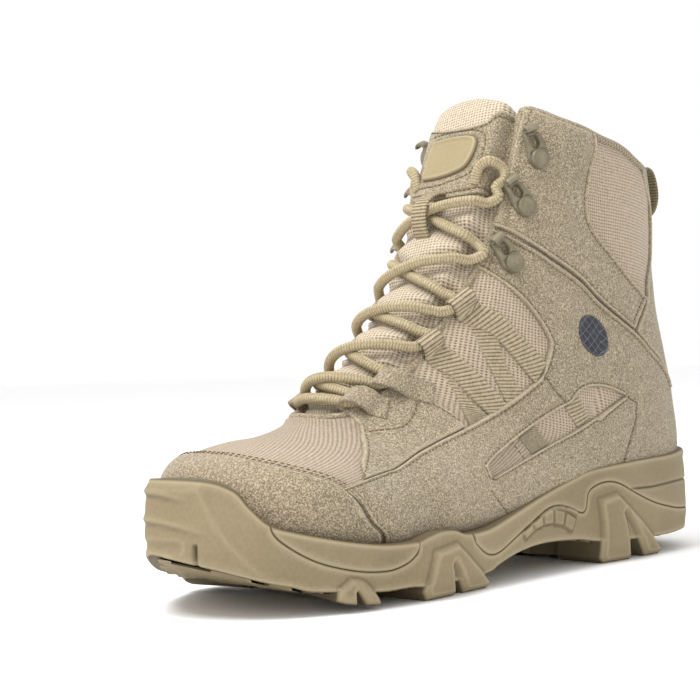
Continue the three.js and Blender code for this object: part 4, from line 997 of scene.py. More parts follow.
def along_line(flat, line):
    """How far along a line each point lies, and how far beside it."""
    a, b = line[:-1], line[1:]
    step = b - a
    size = np.maximum((step ** 2).sum(1), 1e-9)
    start = np.concatenate([[0], np.cumsum(np.sqrt(size))])[:-1]
    t = ((flat[:, None] - a[None]) * step[None]).sum(2) / size[None]
    index = np.arange(len(a))
    t = np.clip(t, np.where(index == 0, -9, 0)[None], np.where(index == len(a) - 1, 9, 1)[None])
    gap = flat[:, None] - (a[None] + t[..., None] * step[None])
    away = np.sqrt((gap ** 2).sum(2))
    k = np.argmin(away, axis=1)
    row = np.arange(len(flat))
    turn_sign = np.sign(step[k, 0] * gap[row, k, 1] - step[k, 1] * gap[row, k, 0])
    return start[k] + t[row, k] * np.sqrt(size[k]), away[row, k] * turn_sign


def strap_swell(flat, base, d):
    """A strap bows up a little in its middle."""
    return 0.35 * np.clip(d / 4, 0, 1)


# Lines that stitches, folds and grooves follow, on the lateral half of the flat map
QUARTER_LOOP = flat_line(QUARTER_PANEL, closed=True)
COLLAR_LOOP = flat_line(COLLAR_PANEL, closed=True)
# The lace tab runs on under the band
TAB_LOOP = flat_line([(x, z - 0.03) if k in (5, 6, 7, 8) else (x, z) for k, (x, z) in enumerate(LACE_TAB)],
                     closed=True)
COLLAR_REAR = flat_line(COLLAR_PANEL[0:8])
COLLAR_LOW = flat_line(COLLAR_PANEL[7:15])
QUARTER_TOP = flat_line(QUARTER_PANEL[0:10])
BAND_TOP = flat_line(QUARTER_PANEL[17:25])
WINDOW = flat_line(QUARTER_PANEL[24:33])
SLOT_LOOP = flat_line(SIDE_SLOT, closed=True)
TOE_SEAM = flat_line(TOE_CAP[1:9])
TAB_FRONT = flat_line(LACE_TAB[1:6])
TAB_REAR = flat_line(LACE_TAB[8:13])
STRIP_EDGE = flat_line(HEEL_STRIP[1:14])
REAR_SEAM = flat_line([(0.19, 0.355), (0.162, 0.337), (0.165, 0.319), (0.168, 0.299), (0.186, 0.258),
                       (0.207, 0.21), (0.215, 0.17)])
FRONT_SEAM = flat_line([(0.523, 0.186), (0.506, 0.16), (0.48, 0.133), (0.47, 0.12)])
BAND_END = flat_line([(0.374, 0.415), (0.353, 0.379), (0.327, 0.344)])
TAB_STITCH = flat_line([(0.689, 0.312), (0.648, 0.314), (0.628, 0.322), (0.602, 0.349), (0.588, 0.385)])


def toe_loop():
    seam = TOE_SEAM
    last = densify(np.array([[seam[-1, 0], seam[-1, 1]], [P_OF_PLACE[-1], V_MAX]]), 2)[1:]
    tip = densify(np.array([[P_OF_PLACE[-1], V_MAX], [P_OF_PLACE[-1], -V_MAX]]), 2)[1:-1]
    return np.concatenate([seam, last, tip, mirrored(last)[::-1], mirrored(seam)[::-1][:-1]])


def strip_loop():
    rows = rounded(side_mm(HEEL_STRIP[1:15]), 50, step=1.2)
    edge = to_flat(*from_side(rows)) - [0, V_MAX]
    return np.concatenate([edge, mirrored(edge)[::-1]])


# Upper and lower edge of each webbing strap, from its loop to the band: x, z
STRAPS = [
    ([(0.493, 0.510), (0.484, 0.487), (0.472, 0.443), (0.459, 0.399), (0.447, 0.358), (0.444, 0.35)],
     [(0.458, 0.53), (0.449, 0.5), (0.440, 0.441), (0.430, 0.414), (0.414, 0.376), (0.412, 0.37)]),
    ([(0.505, 0.527), (0.485, 0.511), (0.463, 0.499), (0.444, 0.477), (0.420, 0.441), (0.388, 0.392)],
     [(0.471, 0.559), (0.449, 0.543), (0.433, 0.527), (0.416, 0.502), (0.392, 0.470), (0.364, 0.432)]),
    ([(0.55, 0.42), (0.537, 0.394), (0.527, 0.364), (0.523, 0.332), (0.520, 0.308)],
     [(0.538, 0.44), (0.527, 0.399), (0.514, 0.374), (0.502, 0.356), (0.479, 0.328)]),
    ([(0.563, 0.449), (0.552, 0.428), (0.537, 0.418), (0.523, 0.396), (0.505, 0.367), (0.478, 0.33)],
     [(0.531, 0.477), (0.524, 0.468), (0.511, 0.451), (0.492, 0.420), (0.470, 0.388), (0.445, 0.35)]),
]
# How high the front and the rear strap of each pair stand over the canvas
STRAP_TOPS = (0.75, 1.35)
# Webbing that shows in the side slot, and the rows of thread across it
SLOT_STRAPS = [
    [(0.436, 0.29), (0.410, 0.236), (0.375, 0.262), (0.397, 0.31)],
    [(0.330, 0.34), (0.302, 0.285), (0.272, 0.30), (0.302, 0.365)],
]
SLOT_TACK = [(0.421, 0.272), (0.411, 0.247)]
SLOT_LINES = [[(0.450, 0.280), (0.428, 0.229)], SLOT_TACK]
SUEDE_TOP = GAP + SUEDE
STITCH_TOP = SUEDE_TOP - 0.1
# Height, half width and darkness of the groove under a row of stitches and of the roll beside an edge; the
# darkness is painted shade in the groove, and minus on the roll it is painted highlight
STITCH_GROOVE = (-0.3, 0.45, 0.35)
EDGE_ROLL = (0.9, 0.9, -0.4)


def both(f):
    return f[0] & f[1]


def first_two_only(f):
    return f[0] & f[1] & ~f[2]


STITCH = Stitches()
PALE = Stitches()


def rim_swell(flat, base, d):
    """The padded collar swells under its rim."""
    rim_gap = line_distance(np.abs(flat), RIM)
    return 0.9 * bell(rim_gap - 9, 7) * np.clip(rim_gap / 3, 0, 1)


# canvas base
base_piece = skin("upper_canvas", [BOTH], lambda f: f[0], CANVAS, 0.0, 1.35, low=-1.2, edge=1.0,
                  grain=(0.8, 0.6), swell=lambda f, b, d: rim_swell(f, b, d) * 1.2)
replace("upper")

# suede toe cap, with two rows of stitches beside its seam
toe_relief = []
TOE_GROOVE = (-0.35, 0.45, 0.45)
TOE_ROWS = (1.9, 4.6)
# Painted shade in the stitch grooves, painted highlight on the ridge just beside the seam.
for seam, s in ((TOE_SEAM, 1), (mirrored(TOE_SEAM), -1)):
    toe_relief += [(shift_line(seam, gap * s), *TOE_GROOVE) for gap in TOE_ROWS]
    toe_relief.append((shift_line(seam, 0.9 * s), 0.15, 0.5, -0.3))
toe = skin("toe_cap_suede", [BOTH, toe_loop()], both, SUEDE_LOOK, SUEDE_TOP, relief=toe_relief)
replace("toe_cap")
for seam, s in ((TOE_SEAM, 1), (mirrored(TOE_SEAM), -1)):
    for gap in TOE_ROWS:
        STITCH.row(shift_line(seam, gap * s), STITCH_TOP)

# heel strip
strip_relief = []
for s in (1, -1):
    edge = (STRIP_EDGE - [0, V_MAX]) * [1, s]
    # Painted shade in the groove under the stitch row.
    strip_relief += [(shift_line(edge, -2.0 * s), -0.3, 0.45, 0.4)]
strip = skin("heel_strip_suede", [BACK, strip_loop()], both, SUEDE_LOOK, SUEDE_TOP, wrap=True,
             relief=strip_relief)
replace("heel_strip")

for side, word in ((1, "lateral"), (-1, "medial")):
    turn = (lambda a: a) if side > 0 else mirrored
    # rows just inside each edge, as (line, distance in from the edge)
    quarter_rows = [(inset(line, gap, panel), inset(line, gap * 0.45, panel)) for line, gap, panel in (
        (QUARTER_TOP, 2.1, QUARTER_LOOP), (WINDOW, 2.0, QUARTER_LOOP), (BAND_TOP, 2.1, QUARTER_LOOP),
        (SLOT_LOOP, -1.7, SLOT_LOOP))]
    relief = []
    # Painted shade in the stitch grooves and seams, painted highlight on the ridges and the rolled edge.
    for row, ridge in quarter_rows:
        relief.append((turn(row), *STITCH_GROOVE))
        relief.append((turn(ridge), 0.3, 0.6, -0.3))
    relief += [(turn(REAR_SEAM), -0.9, 0.4, 1.0), (turn(FRONT_SEAM), -0.5, 0.4, 0.7),
               (turn(BAND_END), -0.7, 0.45, 0.9),
               (turn(inset(QUARTER_TOP, 0.9, QUARTER_LOOP)), *EDGE_ROLL)]
    loops = [BOTH, turn(QUARTER_LOOP), turn(SLOT_LOOP)]
    piece = skin(f"quarter_suede_{word}", loops, first_two_only, SUEDE_LOOK, SUEDE_TOP, relief=relief)
    replace(f"quarter_{word}")
    for row, _ in quarter_rows:
        STITCH.row(turn(row), STITCH_TOP)
    STITCH.row(turn(FRONT_SEAM), SUEDE_TOP - 0.3)

    # collar panel
    relief = [(turn(inset(COLLAR_REAR, 2.2, COLLAR_LOOP)), *STITCH_GROOVE),
              (turn(inset(COLLAR_REAR, 0.9, COLLAR_LOOP)), *EDGE_ROLL),
              (turn(inset(COLLAR_LOW, 2.2, COLLAR_LOOP)), *STITCH_GROOVE),
              (turn(inset(COLLAR_LOW, 0.9, COLLAR_LOOP)), *EDGE_ROLL)]
    throat_flat = to_flat(*throat_edge(2.4))
    throat_flat = throat_flat[throat_flat[:, 0] < QUARTER_TOP[:, 0].max() + 60]
    relief.append((turn(throat_flat), *STITCH_GROOVE))
    loops = [BOTH, turn(COLLAR_LOOP)]
    piece = skin(f"collar_suede_{word}", loops, both, SUEDE_LOOK, SUEDE_TOP, relief=relief, swell=rim_swell)
    replace(f"collar_{word}")
    STITCH.row(turn(inset(COLLAR_REAR, 2.2, COLLAR_LOOP)), STITCH_TOP)
    STITCH.row(turn(inset(COLLAR_LOW, 2.2, COLLAR_LOOP)), STITCH_TOP)
    upper_throat = throat_flat[throat_flat[:, 0] < np.interp(4.8, PLACES, P_OF_PLACE)]
    STITCH.row(turn(upper_throat), STITCH_TOP)

    # lace tab
    tab_rows = [turn(inset(TAB_FRONT, 2.0, TAB_LOOP)), turn(inset(TAB_REAR, 1.8, TAB_LOOP))]
    # Painted shade in the stitch grooves.
    relief = [(row, *STITCH_GROOVE) for row in tab_rows] + [(turn(TAB_STITCH), -0.3, 0.45, 0.4)]
    loops = [BOTH, turn(TAB_LOOP), turn(QUARTER_LOOP)]
    piece = skin(f"lace_tab_suede_{word}", loops, first_two_only, SUEDE_LOOK, SUEDE_TOP, relief=relief,
                 spacing=1.0)
    replace(f"lace_tab_{word}")
    for row in tab_rows + [turn(TAB_STITCH)]:
        STITCH.row(row, STITCH_TOP)

    # webbing legs fan out from the two loops, the rear one of each pair on top
    for k, (first, second) in enumerate(STRAPS):
        one, two = flat_line(first), flat_line(second)
        leg = np.concatenate([one, two[::-1]])
        leg = densify(leg, 1.2, closed=True)
        share = np.linspace(0, 1, 30)
        middle = (resampled(one, 30) + resampled(two, 30)) / 2
        middle = np.stack([np.polyval(np.polyfit(share, middle[:, k], 2), share) for k in (0, 1)], -1)
        skin(f"webbing_leg_{k}_{word}", [BOTH, turn(leg)], both, WEBBING,
                          GAP + STRAP_TOPS[k % 2], spacing=0.8, low=-0.3, edge=0.45, along=turn(middle),
                          rings=(0.3, 0.9), swell=strap_swell)
    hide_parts(f"webbing_{word}")
    for k, rows in enumerate(SLOT_STRAPS):
        leg = turn(flat_line(rows, closed=True, corner=20))
        axis = turn(flat_line([rows[0], rows[1]]))
        piece = skin(f"slot_webbing_{k}_{word}", [BOTH, leg, turn(SLOT_LOOP)], lambda f: np.all(f, axis=0),
                     WEBBING, 0.75, spacing=0.9, low=-0.2, edge=0.4, along=axis, rings=(0.3, 0.9))
    for line in SLOT_LINES:
        if line is SLOT_TACK:
            PALE.row(turn(flat_line(line)), 0.35, 1.6, 1.3, 0.28, 0.0)
        else:
            STITCH.row(turn(flat_line(line)), 0.05)


# Sole


PER_SPAN = 48


def centripetal(points, per_span):
    """Closed Catmull-Rom curve with centripetal spacing, as many points for each span."""
    n = len(points)
    out = []
    for i in range(n):
        p0, p1, p2, p3 = (points[(i + k - 1) % n] for k in range(4))
        at = curve_span(p0, p1, p2, p3, 1e-4)
        out += [at(k / per_span) for k in range(per_span)]
    return np.array(out)


def outline_points():
    lateral = [(x * SOLE_LENGTH, w * HALF_BALL) for x, w, _ in SOLE_OUTLINE]
    medial = [(x * SOLE_LENGTH, -w * HALF_BALL) for x, _, w in SOLE_OUTLINE][::-1]
    return np.array([(HEEL_BACK * SOLE_LENGTH, 0.0)] + lateral + [(TOE_FRONT * SOLE_LENGTH, 0.0)] + medial)


OUTLINE = centripetal(outline_points(), PER_SPAN)
_closed = np.concatenate([OUTLINE, OUTLINE[:1]])
OUTLINE_S = arc_length(_closed)
GIRTH = OUTLINE_S[-1]
_tangent = np.roll(OUTLINE, -1, axis=0) - np.roll(OUTLINE, 1, axis=0)
_tangent /= np.linalg.norm(_tangent, axis=1, keepdims=True)
OUTLINE_OUT = np.stack([-_tangent[:, 1], _tangent[:, 0]], -1)
_closed_out = np.concatenate([OUTLINE_OUT, OUTLINE_OUT[:1]])
TOE_S = OUTLINE_S[(len(SOLE_OUTLINE) + 1) * PER_SPAN]
RAND = [(-0.3, -0.09), (0.0, -0.06), (0.18, -0.012), (0.35, 0.01), (0.7, 0.004), (1.1, -0.02), (1.4, -0.03)]


def wall_point(s, z, out):
    """A point of the sole's side wall: s runs round the outline from the heel over the lateral side."""
    s = np.asarray(s) % GIRTH
    x, y = (np.interp(s, OUTLINE_S, _closed[:, k]) for k in (0, 1))
    nx, ny = (np.interp(s, OUTLINE_S, _closed_out[:, k]) for k in (0, 1))
    bulge = np.interp(z / RAND_HEIGHT, *zip(*RAND)) * RAND_HEIGHT
    return np.stack([x + nx * (bulge + out), y + ny * (bulge + out), z], -1)


def s_of_x(x, side):
    """Arc length where the outline's side passes x."""
    half = (OUTLINE_S[:-1] <= TOE_S) if side > 0 else (OUTLINE_S[:-1] >= TOE_S)
    xs, ss = OUTLINE[half, 0], OUTLINE_S[:-1][half]
    if side < 0:
        xs, ss = xs[::-1], ss[::-1]
    keep = np.maximum.accumulate(xs) <= xs + 1e-9
    xs, ss = xs[keep], ss[keep]
    beyond = np.maximum(np.asarray(x) - xs[-1], 0) - np.maximum(xs[0] - np.asarray(x), 0)
    return np.interp(x, xs, ss) + beyond * side


def wall_line(rows, side, step=1.0, corner=60, closed=False):
    """A line of the sole's side, from rows of (x, z) shares, as (s, z)."""
    points = np.array([(x * SOLE_LENGTH, z * RAND_HEIGHT) for x, z in rows])
    points = rounded(points, corner, closed=closed, step=step)
    return np.stack([s_of_x(points[:, 0], side), points[:, 1]], -1)


def level(rows, x):
    line = rounded(np.array([(a * SOLE_LENGTH, b * RAND_HEIGHT) for a, b in rows]), 180, step=1.0)
    order = np.argsort(line[:, 0])
    return np.interp(x, line[order, 0], line[order, 1])


_S = np.arange(0, GIRTH, 0.8)
_S = np.append(_S, GIRTH)
_SX = np.interp(_S % GIRTH, OUTLINE_S, _closed[:, 0])


def ring_line(rows, shift=0.0):
    return np.stack([_S, level(rows, _SX) + shift], -1)


WALL_TOP = ring_line(TOP_EDGE)
WALL_LOW = ring_line(TREAD_LINE)
WALL = np.concatenate([WALL_TOP, WALL_LOW[::-1]])


# A height that is above the whole sole
ABOVE = 90


def midsole_loops():
    loops = []
    for side in (1, -1):
        s_end = float(s_of_x(0.598 * SOLE_LENGTH, side))
        last = float(s_of_x(0.583 * SOLE_LENGTH, side))
        start = 0 if side > 0 else GIRTH
        s = np.arange(start, last, 0.8 * side)
        line = np.stack([s, level(REAR_GROOVE, np.interp(s, OUTLINE_S, _closed[:, 0]))], -1)
        loops.append(np.concatenate([line, [[s_end, 0.6 * RAND_HEIGHT], [s_end, ABOVE], [start - side, ABOVE],
                                            [start - side, line[0, 1]]]]))
        front = wall_line(FRONT_GROOVE, side, 0.8, 180)
        loops.append(np.concatenate([front, [[front[-1, 0], ABOVE], [front[0, 0], ABOVE]]]))
    return loops


MIDSOLE = midsole_loops()
LUGS = {name: [wall_line(rows, side, 0.9, 30, closed=True) for side in (1, -1)]
        for name, rows in (("heel", HEEL_LUG), ("ball", BALL_LUG), ("front", FRONT_LUG))}
GUARD = np.concatenate([wall_line(TOE_GUARD[1:10], 1, 0.9, 60),
                        wall_line(TOE_GUARD[1:10], -1, 0.9, 60)[::-1]])


def fan_blocks():
    cx, cz = 0.405 * SOLE_LENGTH, -0.22 * RAND_HEIGHT
    blocks = []
    first, last, rays, margin = 58, 122, 5, 0.9
    turn = (last - first) / rays
    for near, far in ((0.108, 0.128), (0.132, 0.152)):
        for k in range(rays):
            a0, a1 = (math.radians(first + (k + j) * turn + (margin if j == 0 else -margin)) for j in (0, 1))
            arc = [(far, a0 + (a1 - a0) * t / 6) for t in range(7)]
            arc += [(near, a1 + (a0 - a1) * t / 6) for t in range(7)]
            blocks.append(np.array([(cx + r * SOLE_LENGTH * math.cos(a), cz + r * SOLE_LENGTH * math.sin(a))
                                    for r, a in arc]))
    return blocks


FAN = []
for block in fan_blocks():
    for side in (1, -1):
        dense = densify(block, 0.9, closed=True)
        FAN.append(np.stack([s_of_x(dense[:, 0], side), dense[:, 1]], -1))


def smooth(t):
    t = np.clip(t, 0, 1)
    return t * t * (3 - 2 * t)


def loop_distance(points, loop):
    """Distance to a closed loop, plus inside and minus outside, for the points near it."""
    out = np.full(len(points), -99.0)
    near = ((points > loop.min(0) - 6) & (points < loop.max(0) + 6)).all(1)
    q = points[near]
    if len(q):
        d = segment_distance(q, loop, np.roll(loop, -1, axis=0))
        out[near] = np.where(inside(q, loop), d, -d)
    return out


HEEL_LINE = np.stack([_S, np.interp(_SX, [0, 23, 45, 60], [33, 32.8, 31.9, 32.2])], -1)
HEEL_LINE_L = HEEL_LINE[(_SX < 62) & (_S < GIRTH / 2)]
HEEL_LINE_M = HEEL_LINE[(_SX < 62) & (_S > GIRTH / 2)]
TOE_RIBS = [rounded(np.array([(TOE_S + s, z * RAND_HEIGHT) for s, z in rows]), 180, step=0.8)
            for rows in ([(-20, 0.9), (-10, 0.945), (0, 0.965), (10, 0.945), (20, 0.9)],
                         [(-28, 0.65), (-14, 0.72), (0, 0.755), (14, 0.72), (28, 0.65)])]
TOE_SLOTS = [densify(np.array([(TOE_S + s, 0.56 * RAND_HEIGHT), (TOE_S + s, 0.4 * RAND_HEIGHT)]), 0.8)
             for s in (-22.0, 22.0)]


def sole_mesh(name, loops, keep, material, height, spacing=1.4, edge=0.9, low=-0.7, lines=(), skirt=None):
    """A fine mesh of a part of the side wall. skirt gives how far its free edges run inward at (s, z)."""
    flat, tris, (starts, ends) = fill_region(loops, keep, spacing, lines, (0.3, 0.9, 1.7))
    d = segment_distance(flat, starts, ends)
    on_seam = (flat[:, 0] < 1.2) | (flat[:, 0] > GIRTH - 1.2)
    ends_only = ((starts[:, 0] > 0.05) & (starts[:, 0] < GIRTH - 0.05)
                 | (ends[:, 0] > 0.05) & (ends[:, 0] < GIRTH - 0.05))
    if on_seam.any():
        d[on_seam] = segment_distance(flat[on_seam], starts[ends_only], ends[ends_only])
    h, seam, crest_highlight = height(flat)
    t = np.clip(d / edge, 0, 1)
    h = h + low * (1 - quarter_round(t))
    # Painted shade along the part's edge and painted highlight on the crest of its rounded edge.
    seam = np.maximum(seam, np.clip(1 - d / 0.45, 0, 1) * 0.9)
    crest_highlight = np.maximum(crest_highlight, np.exp(-((d - edge * 1.2) / (edge * 0.7)) ** 2) * (d > 0.2))
    points = wall_point(flat[:, 0], flat[:, 1], h)
    out = wall_point(flat[:, 0], flat[:, 1], h + 1) - points
    tris = facing(points, tris, out)
    faces = tris.tolist()
    if skirt is not None:
        rim, faces = walled(tris, len(points))
        deep = skirt(flat[rim])
        points = np.concatenate([points, wall_point(flat[rim, 0], flat[rim, 1], h[rim] - deep)])
        # The inward skirt under the wall gets painted shade.
        seam = np.concatenate([seam, np.full(len(rim), 0.5)])
        crest_highlight = np.concatenate([crest_highlight, np.zeros(len(rim))])
    return make_object(name, points, faces, material, {"seam": seam, "crest_highlight": crest_highlight}, sharp=42)


def outsole_height(flat):
    # seam is painted shade at the foot of the lugs and blocks, under the toe ribs and in the slots; the other
    # mask is painted highlight on their crests.
    h, seam, crest_highlight = np.zeros(len(flat)), np.zeros(len(flat)), np.zeros(len(flat))
    for name, relief, chamfer in (("heel", 2.2, 2.6), ("ball", 2.2, 2.4), ("front", 2.0, 2.0)):
        for loop in LUGS[name]:
            d = loop_distance(flat, loop)
            h = np.maximum(h, relief * smooth(d / chamfer))
            crest_highlight = np.maximum(crest_highlight, bell(d - chamfer, 0.7) * 0.8)
            seam = np.maximum(seam, bell(d + 0.2, 0.6) * 0.5)
            inner = loop_distance(flat, loop) - chamfer
            h += 0.25 * smooth(inner / 4) * (inner > 0)
    d = loop_distance(flat, GUARD)
    h += 1.1 * smooth(d / 3.2)
    crest_highlight = np.maximum(crest_highlight, bell(d - 3.0, 0.8) * 0.4)
    for loop in FAN:
        d = loop_distance(flat, loop)
        h = np.maximum(h, 1.1 * smooth(d / 0.7))
        seam = np.maximum(seam, bell(d + 0.5, 0.45) * 0.8)
        crest_highlight = np.maximum(crest_highlight, bell(d - 0.8, 0.4) * 0.6)
    for line in TOE_RIBS:
        d = line_distance(flat, line)
        taper = np.clip(1 - ((flat[:, 0] - TOE_S) / np.ptp(line[:, 0]) * 2) ** 2, 0, 1)
        below = smooth((np.interp(flat[:, 0], line[:, 0], line[:, 1]) - flat[:, 1]) / 1.0)
        h += taper * (0.65 * bell(d, 1.3) - 0.45 * below * bell(d - 2.2, 1.1))
        seam = np.maximum(seam, 0.45 * taper * below * bell(d - 1.8, 0.8))
        crest_highlight = np.maximum(crest_highlight, 0.6 * taper * bell(d, 0.9))
    for line in TOE_SLOTS:
        d = line_distance(flat, line)
        h -= 1.6 * bell(d, 0.9)
        seam = np.maximum(seam, bell(d, 0.8))
    return h, seam, crest_highlight


def midsole_height(flat):
    # Painted shade in the heel line's groove, painted highlight beside it and along the rand's top edge.
    h, seam, crest_highlight = np.zeros(len(flat)), np.zeros(len(flat)), np.zeros(len(flat))
    for line in (HEEL_LINE_L, HEEL_LINE_M):
        d = line_distance(flat, line)
        h -= 0.7 * bell(d, 0.55)
        seam = np.maximum(seam, bell(d, 0.5))
        crest_highlight = np.maximum(crest_highlight, 0.4 * bell(d - 1.2, 0.6))
    d = line_distance(flat, WALL_TOP)
    h += 0.45 * bell(d - 1.6, 1.2) - 0.2 * bell(d - 4.6, 1.4)
    crest_highlight = np.maximum(crest_highlight, 0.7 * bell(d - 1.2, 0.8))
    return h, seam, crest_highlight


RAND_LEDGE = 9.0


def at_top(flat):
    return flat[:, 1] > np.interp(flat[:, 0], WALL_TOP[:, 0], WALL_TOP[:, 1]) - 0.4


def wall_skirt(flat):
    """Lugs run far under the foot, other edges only a little way in."""
    deep = np.full(len(flat), 3.0)
    tread = np.interp(flat[:, 0], WALL_LOW[:, 0], WALL_LOW[:, 1])
    deep[flat[:, 1] < tread - 0.4] = 24.0
    deep[np.abs(flat[:, 1] - tread) <= 0.4] = 6.0
    return np.where(at_top(flat), RAND_LEDGE, deep)


def thick_skirt(flat):
    return np.where(at_top(flat), RAND_LEDGE, 3.0)


lug_loops = [loop for pair in LUGS.values() for loop in pair]
mid_count, lug_count = len(MIDSOLE), len(lug_loops)
outsole_loops = [WALL] + MIDSOLE + lug_loops


def outsole_keep(f):
    mid = np.any(f[1:1 + mid_count], axis=0)
    lug = np.any(f[1 + mid_count:1 + mid_count + lug_count], axis=0)
    return (f[0] | lug) & ~mid


edge_lines = [(np.concatenate([loop, loop[:1]]), (0.0, 1.2, -1.2, 2.5, -2.5)) for loop in lug_loops]
edge_lines += [(np.concatenate([loop, loop[:1]]), (-0.5, 0.0, 0.6)) for loop in FAN]
edge_lines += [(line, (0.0, 0.6, -0.6, 1.3, -1.3)) for line in TOE_SLOTS + TOE_RIBS]
outsole = sole_mesh("outsole_wall", outsole_loops, outsole_keep, RUBBER, outsole_height, 1.4,
                    lines=edge_lines, skirt=wall_skirt)
replace("outsole")
mid_lines = [(line, (0.0, 0.5, -0.5, 1.1, -1.1)) for line in (HEEL_LINE_L, HEEL_LINE_M)]
mid_lines += [(WALL_TOP, (-1.0, -2.2, 1.0, 2.2))]
midsole = sole_mesh("midsole_wall", [WALL] + MIDSOLE, lambda f: f[0] & np.any(f[1:], axis=0), MIDSOLE_RUBBER,
                    midsole_height, 1.5, lines=mid_lines, skirt=thick_skirt)
replace("midsole")


def lug_backs():
    """Inner faces of the lugs, under the foot."""
    points, faces = [], []
    for loop in lug_loops:
        flat, tris, _ = fill_region([loop], lambda f: f[0], 3.0, rings=(1.0,))
        start = sum(len(p) for p in points)
        points.append(wall_point(flat[:, 0], flat[:, 1], -21.5))
        faces.append(tris[:, ::-1] + start)
    return np.concatenate(points), np.concatenate(faces)


back_points, back_faces = lug_backs()
# The inner faces under the foot get an even painted shade.
lugs_in = make_object("lug_inner_faces", back_points, back_faces, RUBBER,
                      {"seam": np.full(len(back_points), 0.3), "crest_highlight": np.zeros(len(back_points))})


def underside():
    """The tread plate under the foot, with its chevron blocks and cross ribs."""
    plan = OUTLINE - OUTLINE_OUT * 3.4
    blocks = []
    for x, half, wide in ((0.15, 0.026, 0.26), (0.235, 0.026, 0.26), (0.57, 0.022, 0.3), (0.645, 0.022, 0.32),
                          (0.725, 0.024, 0.6)):
        x, half, wide = x * SOLE_LENGTH, half * SOLE_LENGTH, wide * HALF_BALL
        nose = half * 0.7
        blocks.append(np.array([(x - half, -wide), (x + half, -wide), (x + half + nose, 0), (x + half, wide),
                                (x - half, wide), (x - half + nose, 0)]))
    loops = [plan] + [densify(b, 2.0, closed=True) for b in blocks]
    lines = [(np.concatenate([b, b[:1]]), (0.0, 1.2)) for b in loops[1:]]
    flat, tris, _ = fill_region(loops, lambda f: f[0], 2.6, lines, rings=(1.0,))
    z = level(TREAD_LINE, flat[:, 0]) + 0.3
    seam = np.zeros(len(flat))
    floor = 0.03 * RAND_HEIGHT
    for b in loops[1:]:
        d = loop_distance(flat, b)
        z = z + (floor - z) * smooth(d / 1.4)
        # Painted shade round the foot of each block.
        seam = np.maximum(seam, 0.7 * bell(d + 0.6, 0.8))
    ribs = 0.9 * (np.abs((flat[:, 0] / 9.0 + np.abs(flat[:, 1]) / 22) % 1 - 0.5) < 0.2)
    z = z - ribs * (z > floor + 2)
    points = np.stack([flat[:, 0], flat[:, 1], z], -1)
    return points, tris[:, ::-1], seam


under_points, under_faces, under_seam = underside()
under = make_object("tread_plate", under_points, under_faces, RUBBER,
                    {"seam": under_seam, "crest_highlight": np.zeros(len(under_seam))}, sharp=40)


def heel_spur():
    """The tilted tab behind the heel."""
    loop = rounded(np.array([(-25, 13.0), (-21, 24.2), (0, 25.2), (21, 24.2), (25, 13.0), (21, 7.6), (0, 6.6),
                             (-21, 7.6)]), 40, closed=True, step=1.0)
    flat, tris, (starts, ends) = fill_region([loop], lambda f: f[0], 1.3, rings=(0.3, 0.9, 1.8))
    d = segment_distance(flat, starts, ends)
    rise = 2.2 + 3.1 * smooth((flat[:, 1] - 5) / 17)
    t = np.clip(d / 1.6, 0, 1)
    h = rise * quarter_round(t) * 0.55 + rise * 0.45
    h -= 0.5 * bell(d - 3.2, 0.7)
    points = wall_point(flat[:, 0], flat[:, 1], h)
    out = wall_point(flat[:, 0], flat[:, 1], h + 1) - points
    tris = facing(points, tris, out)
    rim, faces = walled(tris, len(points))
    points = np.concatenate([points, wall_point(flat[rim, 0], flat[rim, 1], -2.0)])
    # Painted shade in the groove and on the back faces, painted highlight on the rim's crest.
    seam = np.concatenate([0.4 * bell(d - 3.2, 0.8), np.full(len(rim), 0.8)])
    crest_highlight = np.concatenate([bell(d - 1.2, 0.8), np.zeros(len(rim))])
    return points, faces, seam, crest_highlight


spur_points, spur_faces, spur_seam, spur_worn = heel_spur()
spur = make_object("heel_spur", spur_points, spur_faces, RUBBER, {"seam": spur_seam, "crest_highlight": spur_worn},
                   sharp=50)


# Tongue, laces and small parts

def tongue_bulge(place):
    rows = np.array(TONGUE_BULGE)
    return np.interp(place, rows[:, 0], rows[:, 1])


def tongue_rise(place, y):
    place, y = np.broadcast_arrays(np.asarray(place, float), np.asarray(y, float))
    hidden = -(UPPER_WALL + 4 * GAP)
    room = throat_half(surface(place, angle_at(place, y))[..., 0])
    t = smooth((np.abs(y) - (room - 7)) / 5)
    out = tongue_bulge(place)
    return out + (hidden - out) * t


def tongue_point(place, y, above):
    return offset_point(place, angle_at(place, y), tongue_rise(place, y) + above)


def lace_point(place, y, extra=0.0):
    rise = max(float(tongue_rise(place, y - np.sign(y) * 1.5)), 0)
    return offset_point(np.array(place), angle_at(place, y), rise + LACE_DIAMETER / 2 + 3 * GAP + extra)


def p_mm(place):
    return np.interp(place, PLACES, P_OF_PLACE)


def unit(v):
    return v / np.maximum(np.linalg.norm(v, axis=-1, keepdims=True), 1e-9)


def smooth_path(points, step=0.6):
    """Dense even points on a smooth curve through these."""
    points = np.asarray(points, float)
    out = []
    for i in range(len(points) - 1):
        p1, p2 = points[i], points[i + 1]
        p0 = points[i - 1] if i else 2 * p1 - p2
        p3 = points[i + 2] if i + 2 < len(points) else 2 * p2 - p1
        at = curve_span(p0, p1, p2, p3, 1e-3)
        n = max(2, int(np.linalg.norm(p2 - p1) / step))
        out += [at(k / n) for k in range(n)]
    out.append(points[-1])
    return np.array(out)


def frames_along(path, up):
    """Across and up at each point of a path, turning as little as it can."""
    tangent = unit(np.gradient(path, axis=0))
    across = np.empty_like(path)
    a = np.cross(tangent[0], up)
    a /= np.linalg.norm(a)
    for k, t in enumerate(tangent):
        a = a - t * (a @ t)
        a /= np.linalg.norm(a)
        across[k] = a
    return across, np.cross(across, tangent)


